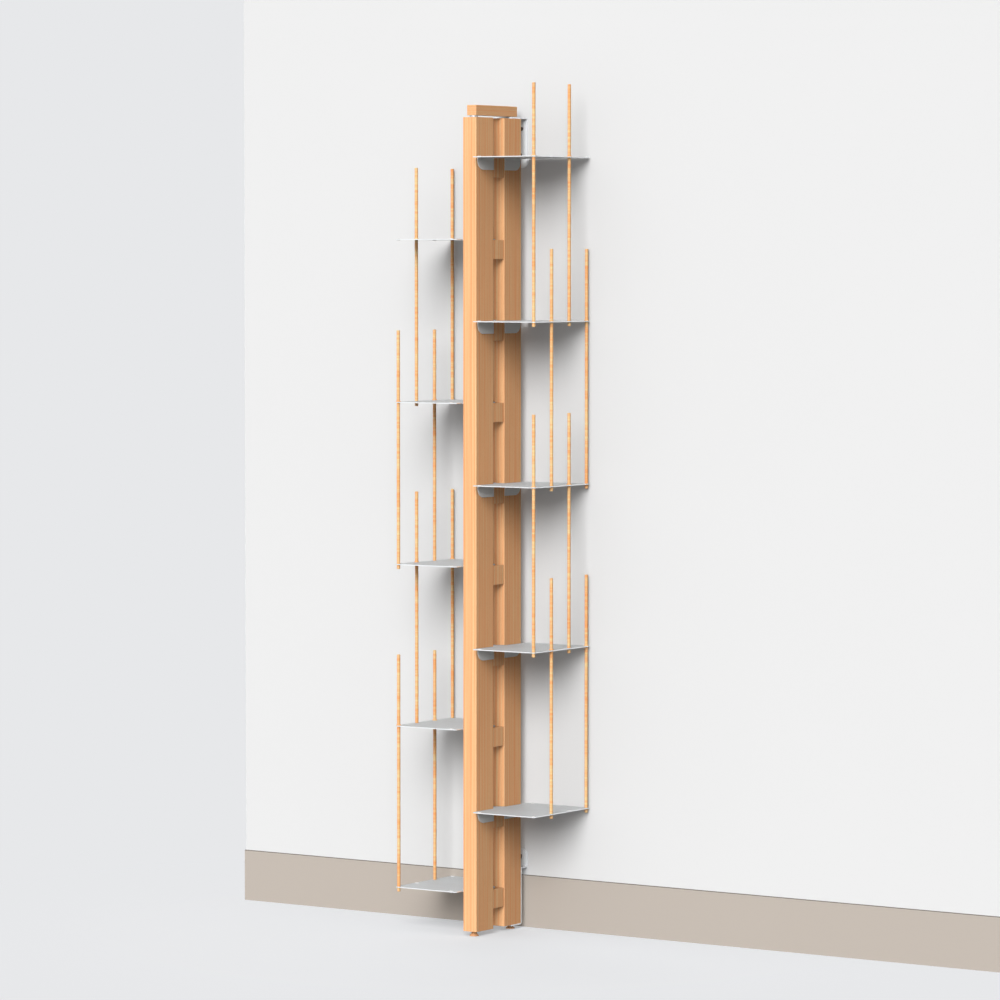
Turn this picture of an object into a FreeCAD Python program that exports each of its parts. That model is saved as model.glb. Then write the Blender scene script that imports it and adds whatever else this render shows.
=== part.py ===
import FreeCAD, Part
import math
import os

import Sketcher
from FreeCAD import Placement, Rotation, Vector

# Spine bookshelf: a slender beech ladder column that stands on two turned feet and is held to the
# wall by two steel brackets. Ten sheet steel shelves hang on it, left and right in turn, and beech
# rods drop through their outer edges to hold the books in.
#
# The frame: X runs along the wall, Y towards the wall, Z up. The origin is on the floor, midway
# between the column's sides and midway between the shelves' front edge and the wall.

SIDES = ("right", "left")
SHELVES_PER_SIDE = 5
LEVELS = len(SIDES) * SHELVES_PER_SIDE
ROD_HOLES = 4
BOLT_ENDS = ("-Sheet.bolt_y", "Sheet.bolt_y")
FOOT_ENDS = ("-Sheet.foot_y", "Sheet.foot_y")
POST_TOP = "Sheet.ground_clearance + Sheet.column_height"

# name, millimetres, what it measures
SIZES = (
    ("column_width", 37.5, "posts, along X"),
    ("post_depth", 70.5, "one post, along Y"),
    ("post_gap", 45.5, "open gap between the two posts"),
    ("post_edge", 1.2, "rounding of the posts' long edges"),
    ("ground_clearance", 12, "posts' lower ends above the floor"),
    ("first_level", 92, "lowest shelf above the posts' lower ends"),
    ("level_step", 191, "from each shelf to the next one up, on the other side"),
    ("top_margin", 94, "posts' upper ends above the highest shelf"),
    ("rung_width", 35, "along X, a little less than the posts"),
    ("rung_height", 45, "along Z"),
    ("rung_edge", 0.8, "rounding of the rungs' edges"),
    ("dowel_diameter", 8, "dowels between rungs and posts"),
    ("dowel_depth", 20, "depth of a dowel in each piece"),
    ("dowel_spacing", 22, "between the two dowels of a joint"),
    ("sheet_thickness", 2, "shelf sheet"),
    ("bend_radius", 2, "inner radius of the shelf's bends"),
    ("shelf_depth", 235, "along Y"),
    ("shelf_reach", 179.5, "from the column's side to the shelf's outer edge"),
    ("corner_radius", 7, "shelf corners, seen from above"),
    ("tab_drop", 28, "tabs below the shelf's underside"),
    ("tab_corner", 22, "rounding of each tab's outer lower corner"),
    ("tab_end_inset", 4.8, "from the column's front or back face to the tab"),
    ("tab_gap_inset", 0.8, "from a post's inner face to the tab"),
    ("tongue_slack", 0.6, "between the tongue and each post"),
    ("screw_inset", 11.8, "shelf screw, inside the column's side"),
    ("hole_inset", 6.5, "rod holes, in from the shelf's edges"),
    ("inner_hole_inset", 17, "inner holes, in from the shelf's straight inner edge"),
    ("rod_diameter", 8, "book rods"),
    ("rod_slack", 0.5, "between a rod and its hole, all round"),
    ("rod_above", 168, "rod above the shelf that carries it"),
    ("rod_below", 10, "rod below the underside of the next shelf down"),
    ("rod_chamfer", 1, "rod ends"),
    ("collar_diameter", 12, "collar at its foot"),
    ("collar_height", 2.4, "collar on a rod"),
    ("collar_taper", 1.2, "how far the collar narrows to its top"),
    ("collar_seat", 0.2, "running gap under a collar"),
    ("plug_head", 10.4, "diameter of a hole plug's head"),
    ("plug_rise", 1.5, "plug head above the sheet"),
    ("plug_bevel", 1, "plug head's sloping rim"),
    ("plug_stem", 2, "plug below the sheet"),
    ("screw_shank", 4, "shelf screw, diameter"),
    ("screw_length", 30, "shelf screw, under its head"),
    ("screw_tip", 4, "length of the screw's point"),
    ("screw_head", 8, "diameter of the screw's head"),
    ("screw_rise", 2, "height of the screw's head"),
    ("screw_dome", 1.2, "how far the head narrows to its top"),
    ("cap_width", 26, "cap, along X"),
    ("cap_length", 170.5, "cap, along Y"),
    ("cap_height", 24, "cap, along Z"),
    ("cap_edge", 1.2, "rounding of the cap's edges"),
    ("cap_bolt_inset", 10, "cap bolts, in from the cap's ends"),
    ("washer_thickness", 1.5, "washer between cap and wall bracket"),
    ("washer_diameter", 20, "spacer and washer under the cap"),
    ("end_inset", 18, "feet, in from the column's front and back faces"),
    ("bolt_diameter", 6, "cap bolts and foot studs"),
    ("bolt_length", 36, "cap bolt, under its head"),
    ("bolt_head", 10, "diameter of the bolt's head"),
    ("bolt_head_height", 6, "bolt head"),
    ("bolt_socket", 5, "hexagon socket, across its corners"),
    ("socket_depth", 3, "hexagon socket"),
    ("sink_diameter", 12, "hole for the bolt head in the cap"),
    ("sink_depth", 8, "hole for the bolt head in the cap"),
    ("insert_diameter", 10, "threaded insert"),
    ("insert_length", 15, "threaded insert"),
    ("stud_slack", 0.1, "between a foot's stud and its insert, all round"),
    ("stud_room", 40, "depth of the end holes in the posts"),
    ("stud_length", 34, "stud of a foot"),
    ("stud_grip", 6, "stud inside its foot"),
    ("foot_base", 22, "foot's diameter on the floor"),
    ("foot_neck", 11, "foot's narrowest diameter"),
    ("foot_top", 17, "foot's upper diameter"),
    ("foot_rim", 1.6, "height of the foot's straight rim"),
    ("foot_flare", 2, "height of the foot's upper flare"),
    ("foot_sweep", 12, "radius of the foot's hollow side"),
    ("foot_seat", 0.2, "gap between a foot and what it carries"),
    ("stud_chamfer", 0.8, "stud's upper end"),
    ("bracket_thickness", 3, "wall brackets"),
    ("bracket_bend", 3, "inner radius of the brackets' bends"),
    ("bracket_hold", 39, "bracket on or under the rear post"),
    ("bracket_corner", 12, "brackets' free corners"),
    ("stand_off", 28, "from the column's back to the wall"),
    ("top_plate", 118, "top bracket, down the wall"),
    ("wall_hole", 8, "round screw hole of the top bracket"),
    ("wall_hole_drop", 87, "round hole below the top bracket's upper face"),
    ("wall_slot_drop", 26, "slot below the top bracket's upper face"),
    ("wall_slot_width", 9, "slot of the top bracket"),
    ("wall_slot_run", 8, "between the slot's end centres"),
    ("strip_rise", 142, "bottom bracket's step, above the floor"),
    ("tab_rise", 44, "bottom bracket's wall tab, above the step"),
    ("tab_slot_drop", 19, "slot centre below the tab's upper edge"),
    ("tab_slot_width", 8, "slot of the bottom bracket"),
    ("tab_slot_run", 8, "between that slot's end centres"),
)

# name, formula
DERIVED = (
    ("half_width", "=column_width / 2"),
    ("half_gap", "=post_gap / 2"),
    ("half_depth", "=post_gap / 2 + post_depth"),
    ("column_height", "=first_level + %d * level_step + top_margin" % (LEVELS - 1)),
    ("wall_plane", "=half_depth + stand_off"),
    ("column_y", "=(shelf_depth / 2 - wall_plane) / 2"),
    ("foot_y", "=half_depth - end_inset"),
    ("foot_inset", "=post_depth - end_inset"),
    ("bolt_y", "=cap_length / 2 - cap_bolt_inset"),
    ("bolt_inset", "=bolt_y - half_gap"),
    ("rung_half_width", "=rung_width / 2"),
    ("dowel_radius", "=dowel_diameter / 2"),
    ("dowel_length", "=2 * dowel_depth"),
    ("dowel_low", "=rung_height / 2 + dowel_spacing / 2"),
    ("dowel_high", "=rung_height / 2 - dowel_spacing / 2"),
    ("dowel_low_z", "=first_level - dowel_low"),
    ("dowel_high_z", "=first_level - dowel_high"),
    ("half_shelf_depth", "=shelf_depth / 2"),
    ("sheet_start", "=half_width + sheet_thickness + bend_radius"),
    ("sheet_end", "=half_width + shelf_reach"),
    ("bend_outer", "=bend_radius + sheet_thickness"),
    ("tab_face", "=half_width + sheet_thickness"),
    ("tab_start", "=half_gap + tab_gap_inset"),
    ("tab_length", "=half_depth - tab_end_inset - tab_start"),
    ("tongue_radius", "=half_gap - tongue_slack"),
    ("screw_x", "=half_width - screw_inset"),
    ("rod_x", "=sheet_end - hole_inset"),
    ("hole_y", "=half_shelf_depth - hole_inset"),
    ("hole_step", "=2 * hole_y / %d" % (ROD_HOLES - 1)),
    ("inner_hole_x", "=sheet_start + inner_hole_inset"),
    ("rod_radius", "=rod_diameter / 2"),
    ("hole_radius", "=rod_radius + rod_slack"),
    ("rod_length", "=rod_above + sheet_thickness + 2 * level_step + rod_below"),
    ("collar_radius", "=collar_diameter / 2"),
    ("collar_top", "=collar_radius - collar_taper"),
    ("plug_radius", "=plug_head / 2"),
    ("plug_crown", "=plug_radius - plug_bevel"),
    ("plug_foot", "=sheet_thickness + plug_stem"),
    ("screw_radius", "=screw_shank / 2"),
    ("screw_head_radius", "=screw_head / 2"),
    ("screw_crown", "=screw_head_radius - screw_dome"),
    ("screw_straight", "=screw_length - screw_tip"),
    ("pilot_depth", "=screw_length - sheet_thickness"),
    ("cap_half_width", "=cap_width / 2"),
    ("cap_half_length", "=cap_length / 2"),
    ("cap_gap", "=bracket_thickness + washer_thickness"),
    ("cap_base", "=ground_clearance + column_height + cap_gap"),
    ("bolt_radius", "=bolt_diameter / 2"),
    ("bolt_head_radius", "=bolt_head / 2"),
    ("socket_radius", "=bolt_socket / 2"),
    ("sink_radius", "=sink_diameter / 2"),
    ("washer_radius", "=washer_diameter / 2"),
    ("insert_radius", "=insert_diameter / 2"),
    ("stud_bore", "=bolt_radius + stud_slack"),
    ("foot_base_radius", "=foot_base / 2"),
    ("foot_neck_radius", "=foot_neck / 2"),
    ("foot_top_radius", "=foot_top / 2"),
    ("front_foot_height", "=ground_clearance - foot_seat"),
    ("rear_foot_height", "=front_foot_height - bracket_thickness"),
    ("front_foot_waist", "=front_foot_height - foot_flare"),
    ("rear_foot_waist", "=rear_foot_height - foot_flare"),
    ("front_foot_socket", "=front_foot_height - stud_grip"),
    ("rear_foot_socket", "=rear_foot_height - stud_grip"),
    ("bracket_outer_bend", "=bracket_bend + bracket_thickness"),
    ("hold_front", "=half_depth - bracket_hold"),
    ("plate_face", "=wall_plane - bracket_thickness"),
    ("top_drop", "=top_plate - bracket_thickness"),
    ("wall_hole_radius", "=wall_hole / 2"),
    ("wall_hole_z", "=wall_hole_drop - bracket_thickness"),
    ("wall_slot_z", "=wall_slot_drop - bracket_thickness"),
    ("wall_slot_radius", "=wall_slot_width / 2"),
    ("wall_slot_half", "=wall_slot_run / 2"),
    ("strip_back", "=half_depth + bracket_thickness"),
    ("strip_top", "=strip_rise - ground_clearance"),
    ("step_top", "=strip_top + bracket_thickness"),
    ("tab_top", "=strip_top + tab_rise"),
    ("tab_slot_radius", "=tab_slot_width / 2"),
    ("tab_slot_low", "=tab_top - tab_slot_drop - tab_slot_run / 2"),
    ("tab_slot_high", "=tab_top - tab_slot_drop + tab_slot_run / 2"),
)

doc = FreeCAD.newDocument("spine_bookshelf")
sheet = doc.addObject("Spreadsheet::Sheet", "Sheet")
nodes = []


def fill_sheet():
    """Write the driving sizes and what follows from them into the sheet."""
    rows = [(name, str(number), remark) for name, number, remark in SIZES]
    rows += [(name, formula, "") for name, formula in DERIVED]
    for row, (name, content, remark) in enumerate(rows, start=1):
        sheet.set("A%d" % row, name)
        sheet.set("B%d" % row, content)
        sheet.setAlias("B%d" % row, name)
        if remark:
            sheet.set("C%d" % row, remark)
    doc.recompute()


def size(term):
    """Number behind a size's name; a leading minus turns its sign, and 0 is nought."""
    name = term.lstrip("-")
    if name == "0":
        return 0.0
    number = float(sheet.get(name))
    return -number if term.startswith("-") else number


def level_height(level):
    """Expression for the underside of a level's shelf above the floor, with level 0 the lowest."""
    return "Sheet.ground_clearance + Sheet.first_level + %d * Sheet.level_step" % level


def sheet_top(side, number):
    """Expression for the upper face of a shelf's sheet above the floor."""
    return level_height(level_of(side, number)) + " + Sheet.sheet_thickness"


def outward(side, name):
    """Expression for a distance from the column's centre line towards one side."""
    return ("" if side == "right" else "-") + "Sheet." + name


def hole_y(hole):
    """Expression for the place along Y of a rod hole, counted from 0 at the front."""
    return "%d * Sheet.hole_step - Sheet.hole_y" % hole


def place(item, x="0", y="0", z="0", turned=False):
    """Bind an item's place, given from the column's centre line, to the sheet."""
    if turned:
        item.Placement = Placement(Vector(), Rotation(Vector(0, 0, 1), 180))
    item.setExpression("Placement.Base.x", x)
    item.setExpression("Placement.Base.y", "Sheet.column_y + " + y)
    item.setExpression("Placement.Base.z", z)


def new_body(label):
    body = doc.addObject("PartDesign::Body", label)
    body.Label = label
    return body


def origin_feature(body, role):
    return next(item for item in body.Origin.OriginFeatures if item.Role == role)


def new_sketch(body, name, plane, shift=None):
    """Sketch on one of the body's origin planes; shift names its distance along the normal."""
    sketch = body.newObject("Sketcher::SketchObject", name)
    sketch.AttachmentSupport = [(origin_feature(body, plane), "")]
    sketch.MapMode = "FlatFace"
    if shift:
        sketch.setExpression("AttachmentOffset.Base.z", shift)
    return sketch


def pin(sketch, edge, end, x, y):
    """Tie a point of the sketch to two sizes, measured from the sketch's origin."""
    for kind, term, axis in (("DistanceX", x, -2), ("DistanceY", y, -1)):
        if term == "0":
            sketch.addConstraint(Sketcher.Constraint("PointOnObject", edge, end, axis))
            continue
        ends = (edge, end, -1, 1) if term.startswith("-") else (-1, 1, edge, end)
        index = sketch.addConstraint(Sketcher.Constraint(kind, *ends, abs(size(term))))
        sketch.setExpression("Constraints[%d]" % index, "Sheet." + term.lstrip("-"))


def set_radius(sketch, edge, name):
    index = sketch.addConstraint(Sketcher.Constraint("Radius", edge, size(name)))
    sketch.setExpression("Constraints[%d]" % index, "Sheet." + name)


def outline(sketch, points, arcs=None):
    """Closed outline through named points.

    arcs maps the number of a side to (radius, +1 or -1): that side is then an arc of the named
    radius, whose centre lies to the left (+1) or right (-1) of the way from its first point to
    its second one.
    """
    arcs = arcs or {}
    spots = [Vector(size(x), size(y), 0) for x, y in points]
    edges = []
    for side, start in enumerate(spots):
        end = spots[(side + 1) % len(spots)]
        if side not in arcs:
            edges.append((sketch.addGeometry(Part.LineSegment(start, end), False), 1, 2))
            continue
        name, hand = arcs[side]
        chord = end - start
        reach = math.sqrt(size(name) ** 2 - chord.Length ** 2 / 4)
        across = Vector(-chord.y, chord.x, 0).normalize()
        centre = (start + end) / 2 + across * reach * hand
        first, last = (start, end) if hand > 0 else (end, start)
        angles = [math.atan2(spot.y - centre.y, spot.x - centre.x) for spot in (first, last)]
        if angles[1] < angles[0]:
            angles[1] += 2 * math.pi
        circle = Part.Circle(centre, Vector(0, 0, 1), size(name))
        index = sketch.addGeometry(Part.ArcOfCircle(circle, *angles), False)
        edges.append((index, 1, 2) if hand > 0 else (index, 2, 1))
        set_radius(sketch, index, name)
    for side, (edge, head, _) in enumerate(edges):
        previous, _, tail = edges[side - 1]
        sketch.addConstraint(Sketcher.Constraint("Coincident", previous, tail, edge, head))
        pin(sketch, edge, head, *points[side])


def block(sketch, low, high):
    """Rectangle between two named corners."""
    outline(sketch, [low, (high[0], low[1]), high, (low[0], high[1])])


def disc(sketch, x, y, radius_name):
    """Circle round a named point."""
    circle = Part.Circle(Vector(size(x), size(y), 0), Vector(0, 0, 1), size(radius_name))
    edge = sketch.addGeometry(circle, False)
    pin(sketch, edge, 3, x, y)
    set_radius(sketch, edge, radius_name)


def hexagon(sketch, radius_name):
    """Regular hexagon inside a circle of a named radius, with one corner on the X axis."""
    span = size(radius_name)
    rim = sketch.addGeometry(Part.Circle(Vector(), Vector(0, 0, 1), span), True)
    pin(sketch, rim, 3, "0", "0")
    set_radius(sketch, rim, radius_name)
    corners = [
        Vector(span * math.cos(turn * math.pi / 3), span * math.sin(turn * math.pi / 3), 0)
        for turn in range(7)
    ]
    edges = [
        sketch.addGeometry(Part.LineSegment(start, end), False)
        for start, end in zip(corners, corners[1:])
    ]
    for turn, edge in enumerate(edges):
        sketch.addConstraint(Sketcher.Constraint("Coincident", edges[turn - 1], 2, edge, 1))
        sketch.addConstraint(Sketcher.Constraint("PointOnObject", edge, 1, rim))
        if turn:
            sketch.addConstraint(Sketcher.Constraint("Equal", edges[0], edge))
    sketch.addConstraint(Sketcher.Constraint("PointOnObject", edges[0], 1, -1))


def slot(sketch, start, end, radius_name, upright):
    """Long hole between two named centres, upright or level."""
    half = size(radius_name)
    spots = [Vector(size(x), size(y), 0) for x, y in (start, end)]
    turn = math.pi if upright else math.pi / 2
    ends = []
    for spot, angle in zip(spots, (turn, turn + math.pi)):
        circle = Part.Circle(spot, Vector(0, 0, 1), half)
        ends.append(sketch.addGeometry(Part.ArcOfCircle(circle, angle, angle + math.pi), False))
    across = Vector(half, 0, 0) if upright else Vector(0, half, 0)
    for side in (1, -1):
        line = Part.LineSegment(spots[0] + across * side, spots[1] + across * side)
        edge = sketch.addGeometry(line, False)
        first, last = (2, 1) if (side > 0) == upright else (1, 2)
        sketch.addConstraint(Sketcher.Constraint("Tangent", edge, 1, ends[0], first))
        sketch.addConstraint(Sketcher.Constraint("Tangent", edge, 2, ends[1], last))
    pin(sketch, ends[0], 3, *start)
    pin(sketch, ends[1], 3, *end)
    set_radius(sketch, ends[0], radius_name)
    set_radius(sketch, ends[1], radius_name)


def pad(body, sketch, name, length, symmetric=False, reverse=False):
    feature = body.newObject("PartDesign::Pad", name)
    feature.Profile = sketch
    feature.setExpression("Length", "Sheet." + length)
    if symmetric:
        feature.SideType = "Symmetric"
    feature.Reversed = reverse
    doc.recompute()
    return feature


def pocket(body, sketch, name, length=None, reverse=False):
    """Cut a sketch out of the body, to a named depth or right through; it has to remove something."""
    before = body.Shape.Volume
    feature = body.newObject("PartDesign::Pocket", name)
    feature.Profile = sketch
    if length:
        feature.setExpression("Length", "Sheet." + length)
    else:
        feature.Type = "ThroughAll"
        feature.SideType = "Symmetric"
    feature.Reversed = reverse
    doc.recompute()
    if body.Shape.Volume >= before:
        raise RuntimeError("%s: %s cuts nothing" % (body.Label, name))
    return feature


def revolve(body, sketch, name):
    """Turn a sketch of the XZ plane about the body's upright axis."""
    feature = body.newObject("PartDesign::Revolution", name)
    feature.Profile = sketch
    feature.ReferenceAxis = (sketch, ["V_Axis"])
    feature.Angle = 360
    doc.recompute()
    return feature


def dress(body, kind, name, length, chosen):
    """Fillet or Chamfer of a named size on the tip's edges for which chosen(edge) is true."""
    base = body.Tip
    names = ["Edge%d" % number for number, edge in enumerate(base.Shape.Edges, 1) if chosen(edge)]
    feature = body.newObject("PartDesign::" + kind, name)
    feature.Base = (base, names)
    feature.setExpression("Radius" if kind == "Fillet" else "Size", "Sheet." + length)
    doc.recompute()
    return feature


def turned_piece(label, points, arcs=None):
    """Round piece turned from an outline in the XZ plane."""
    body = new_body(label)
    profile = new_sketch(body, label + "_profile", "XZ_Plane")
    outline(profile, points, arcs)
    revolve(body, profile, label + "_turned")
    return body


def repeat(body, original, name, axis, spacing, count):
    """Row of a feature along one of the body's axes."""
    feature = body.newObject("PartDesign::LinearPattern", name)
    feature.Originals = [original]
    feature.Direction = (origin_feature(body, axis), [""])
    feature.Mode = "Spacing"
    feature.setExpression("Offset", "Sheet." + spacing)
    feature.Occurrences = count
    body.Tip = feature
    doc.recompute()
    return feature


def mirror(body, name, plane, originals=None):
    """Mirror some features, or the whole body, about one of its origin planes."""
    feature = body.newObject("PartDesign::Mirrored", name)
    feature.MirrorPlane = (origin_feature(body, plane), [""])
    if originals:
        feature.Originals = originals
    else:
        feature.TransformMode = "Whole shape"
    body.Tip = feature
    doc.recompute()
    return feature


def runs_along(edge, axis):
    """True for a straight edge that runs along "x", "y" or "z"."""
    if len(edge.Vertexes) < 2 or not isinstance(edge.Curve, Part.Line):
        return False
    step = edge.Vertexes[1].Point - edge.Vertexes[0].Point
    return all(abs(getattr(step, other)) < 1e-6 for other in "xyz" if other != axis)


def lies_at(edge, **where):
    """True where the edge's middle has the given coordinates."""
    middle = edge.CenterOfMass
    return all(abs(getattr(middle, axis) - spot) < 1e-4 for axis, spot in where.items())


def is_ring(edge, span):
    """True for a full circle of the given radius."""
    return isinstance(edge.Curve, Part.Circle) and edge.Closed and abs(edge.Curve.Radius - span) < 1e-6


def keep(item):
    nodes.append(item)
    return item


def group(label, body, places):
    """One node of separate copies of a body; each place is an (x, y, z) for place()."""
    node = doc.addObject("Part::Compound", label)
    node.Label = label
    copies = []
    for number, spot in enumerate(places, start=1):
        copy = doc.addObject("App::Link", "%s_copy_%d" % (label, number))
        copy.LinkedObject = body
        place(copy, *spot)
        copies.append(copy)
    node.Links = copies
    return keep(node)


def level_of(side, number):
    """Level of a shelf, counted 1 to 5 from the top on each side; the right side has the highest."""
    return LEVELS - 1 - SIDES.index(side) - 2 * (number - 1)


def make_post(label, front):
    """Post with its inner face at Y = 0; the rear one is the same post turned round."""
    body = new_body(label)
    face = new_sketch(body, label + "_face", "XZ_Plane")
    block(face, ("-half_width", "0"), ("half_width", "column_height"))
    pad(body, face, label + "_stock", "post_depth")
    dress(body, "Fillet", label + "_edges", "post_edge", lambda edge: runs_along(edge, "z"))

    dowels = new_sketch(body, label + "_dowel_centres", "XZ_Plane")
    disc(dowels, "0", "dowel_low_z", "dowel_radius")
    disc(dowels, "0", "dowel_high_z", "dowel_radius")
    holes = pocket(body, dowels, label + "_dowel_holes", "dowel_depth", reverse=True)
    repeat(body, holes, label + "_dowel_row", "Z_Axis", "level_step", LEVELS)

    for end, shift, inset in (
        ("foot", None, "-foot_inset"),
        ("head", "Sheet.column_height", "-bolt_inset"),
    ):
        for use, radius_name, depth in (
            ("insert", "insert_radius", "insert_length"),
            ("stud", "stud_bore", "stud_room"),
        ):
            name = "%s_%s_%s" % (label, end, use)
            sketch = new_sketch(body, name, "XY_Plane", shift)
            disc(sketch, "0", inset, radius_name)
            pocket(body, sketch, name + "_hole", depth, reverse=end == "foot")
    side = "-Sheet.half_gap" if front else "Sheet.half_gap"
    place(body, y=side, z="Sheet.ground_clearance", turned=not front)
    return keep(body)


def make_rung(side, number):
    """Block between the posts that carries one shelf; its upper face is at Z = 0."""
    label = "rung_%s_%d" % (side, number)
    body = new_body(label)
    section = new_sketch(body, label + "_section", "XZ_Plane")
    block(section, ("-rung_half_width", "-rung_height"), ("rung_half_width", "0"))
    pad(body, section, label + "_stock", "post_gap", symmetric=True)
    dress(body, "Fillet", label + "_edges", "rung_edge", lambda edge: runs_along(edge, "y"))

    dowels = new_sketch(body, label + "_dowel_centres", "XZ_Plane", "Sheet.half_gap")
    disc(dowels, "0", "-dowel_low", "dowel_radius")
    disc(dowels, "0", "-dowel_high", "dowel_radius")
    holes = pocket(body, dowels, label + "_dowel_holes", "dowel_depth")
    mirror(body, label + "_both_ends", "XZ_Plane", [holes])

    pilot = new_sketch(body, label + "_pilot", "XY_Plane")
    disc(pilot, "screw_x", "0", "screw_radius")
    pocket(body, pilot, label + "_pilot_hole", "pilot_depth")
    place(body, z=level_height(level_of(side, number)), turned=side == "left")
    return keep(body)


def make_shelf(side, number):
    """Bent sheet shelf: a flat tray, two tabs down the posts and a tongue on the rung."""
    label = "shelf_%s_%d" % (side, number)
    body = new_body(label)
    tray = new_sketch(body, label + "_tray", "XY_Plane")
    block(tray, ("sheet_start", "-half_shelf_depth"), ("sheet_end", "half_shelf_depth"))
    pad(body, tray, label + "_sheet", "sheet_thickness")
    dress(body, "Fillet", label + "_corners", "corner_radius", lambda edge: runs_along(edge, "z"))

    tongue = new_sketch(body, label + "_tongue", "XY_Plane")
    disc(tongue, "half_width", "0", "tongue_radius")
    pad(body, tongue, label + "_tongue_pad", "sheet_thickness")

    bend = new_sketch(body, label + "_bend", "XZ_Plane", "Sheet.tab_start")
    outline(
        bend,
        [
            ("sheet_start", "0"),
            ("tab_face", "-bend_radius"),
            ("tab_face", "-tab_drop"),
            ("half_width", "-tab_drop"),
            ("half_width", "-bend_radius"),
            ("sheet_start", "sheet_thickness"),
        ],
        arcs={0: ("bend_radius", 1), 4: ("bend_outer", -1)},
    )
    pad(body, bend, label + "_tab", "tab_length")
    tab_end = size("tab_start") + size("tab_length")
    dress(
        body, "Fillet", label + "_tab_corner", "tab_corner",
        lambda edge: runs_along(edge, "x") and lies_at(edge, y=-tab_end, z=-size("tab_drop")),
    )
    mirror(body, label + "_both_tabs", "XZ_Plane")

    corner = new_sketch(body, label + "_rod_hole", "XY_Plane")
    disc(corner, "rod_x", "-hole_y", "hole_radius")
    hole = pocket(body, corner, label + "_rod_hole_cut")
    repeat(body, hole, label + "_rod_hole_row", "Y_Axis", "hole_step", ROD_HOLES)

    inner = new_sketch(body, label + "_inner_holes", "XY_Plane")
    disc(inner, "inner_hole_x", "-hole_y", "hole_radius")
    disc(inner, "inner_hole_x", "hole_y", "hole_radius")
    disc(inner, "screw_x", "0", "screw_radius")
    pocket(body, inner, label + "_inner_hole_cut")
    place(body, z=level_height(level_of(side, number)), turned=side == "left")
    return keep(body)


def first_hole(side, number):
    """Rod hole, 0 at the front, of the front one of a shelf's two rods."""
    return (number - 1 + SIDES.index(side)) % 2


def make_rod(side, number, hole, label):
    """Rod with its collar, hanging from one shelf and guided by the next one down."""
    stick = new_body(label + "_stick")
    ring = new_sketch(stick, label + "_section", "XY_Plane")
    disc(ring, "0", "0", "rod_radius")
    pad(stick, ring, label + "_length", "rod_length")
    dress(stick, "Chamfer", label + "_ends", "rod_chamfer", lambda edge: is_ring(edge, size("rod_radius")))
    collar = turned_piece(
        label + "_collar",
        [
            ("rod_radius", "0"),
            ("collar_radius", "0"),
            ("collar_top", "collar_height"),
            ("rod_radius", "collar_height"),
        ],
    )

    x = outward(side, "rod_x")
    y = hole_y(hole)
    top = sheet_top(side, number)
    place(stick, x, y, top + " + Sheet.rod_above - Sheet.rod_length")
    place(collar, x, y, top + " + Sheet.collar_seat")
    rod = doc.addObject("Part::Compound", label)
    rod.Label = label
    rod.Links = [stick, collar]
    return keep(rod)


def make_cap():
    """Block over both posts, with sunk holes for its two bolts."""
    body = new_body("cap")
    plan = new_sketch(body, "cap_plan", "XY_Plane")
    block(plan, ("-cap_half_width", "-cap_half_length"), ("cap_half_width", "cap_half_length"))
    pad(body, plan, "cap_stock", "cap_height")
    dress(body, "Fillet", "cap_edges", "cap_edge", lambda edge: not lies_at(edge, z=0))
    through = new_sketch(body, "cap_bolt_centres", "XY_Plane")
    sunk = new_sketch(body, "cap_sink_centres", "XY_Plane", "Sheet.cap_height")
    for y in ("-bolt_y", "bolt_y"):
        disc(through, "0", y, "bolt_radius")
        disc(sunk, "0", y, "sink_radius")
    pocket(body, through, "cap_bolt_holes")
    pocket(body, sunk, "cap_sinks", "sink_depth")
    place(body, z="Sheet.cap_base")
    return keep(body)


def make_washer(label, thickness, y, z):
    """Flat ring under the cap."""
    body = new_body(label)
    ring = new_sketch(body, label + "_ring", "XY_Plane")
    disc(ring, "0", "0", "washer_radius")
    disc(ring, "0", "0", "bolt_radius")
    pad(body, ring, label + "_disc", thickness)
    place(body, y=y, z=z)
    return keep(body)


def make_foot(which):
    """Turned foot and the stud that screws it into a post."""
    label = which + "_foot"
    height = label + "_height"
    waist = label + "_waist"
    socket = label + "_socket"
    y = "-Sheet.foot_y" if which == "front" else "Sheet.foot_y"
    body = turned_piece(
        label,
        [
            ("0", "0"),
            ("foot_base_radius", "0"),
            ("foot_base_radius", "foot_rim"),
            ("foot_neck_radius", waist),
            ("foot_top_radius", height),
            ("bolt_radius", height),
            ("bolt_radius", socket),
            ("0", socket),
        ],
        arcs={2: ("foot_sweep", -1)},
    )
    place(body, y=y)
    keep(body)

    stud = new_body(label + "_stud")
    section = new_sketch(stud, label + "_stud_section", "XY_Plane")
    disc(section, "0", "0", "bolt_radius")
    pad(stud, section, label + "_stud_stock", "stud_length")
    upper = size("stud_length")
    dress(
        stud, "Chamfer", label + "_stud_end", "stud_chamfer",
        lambda edge: is_ring(edge, size("bolt_radius")) and lies_at(edge, z=upper),
    )
    place(stud, y=y, z="Sheet." + socket)
    keep(stud)


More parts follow.
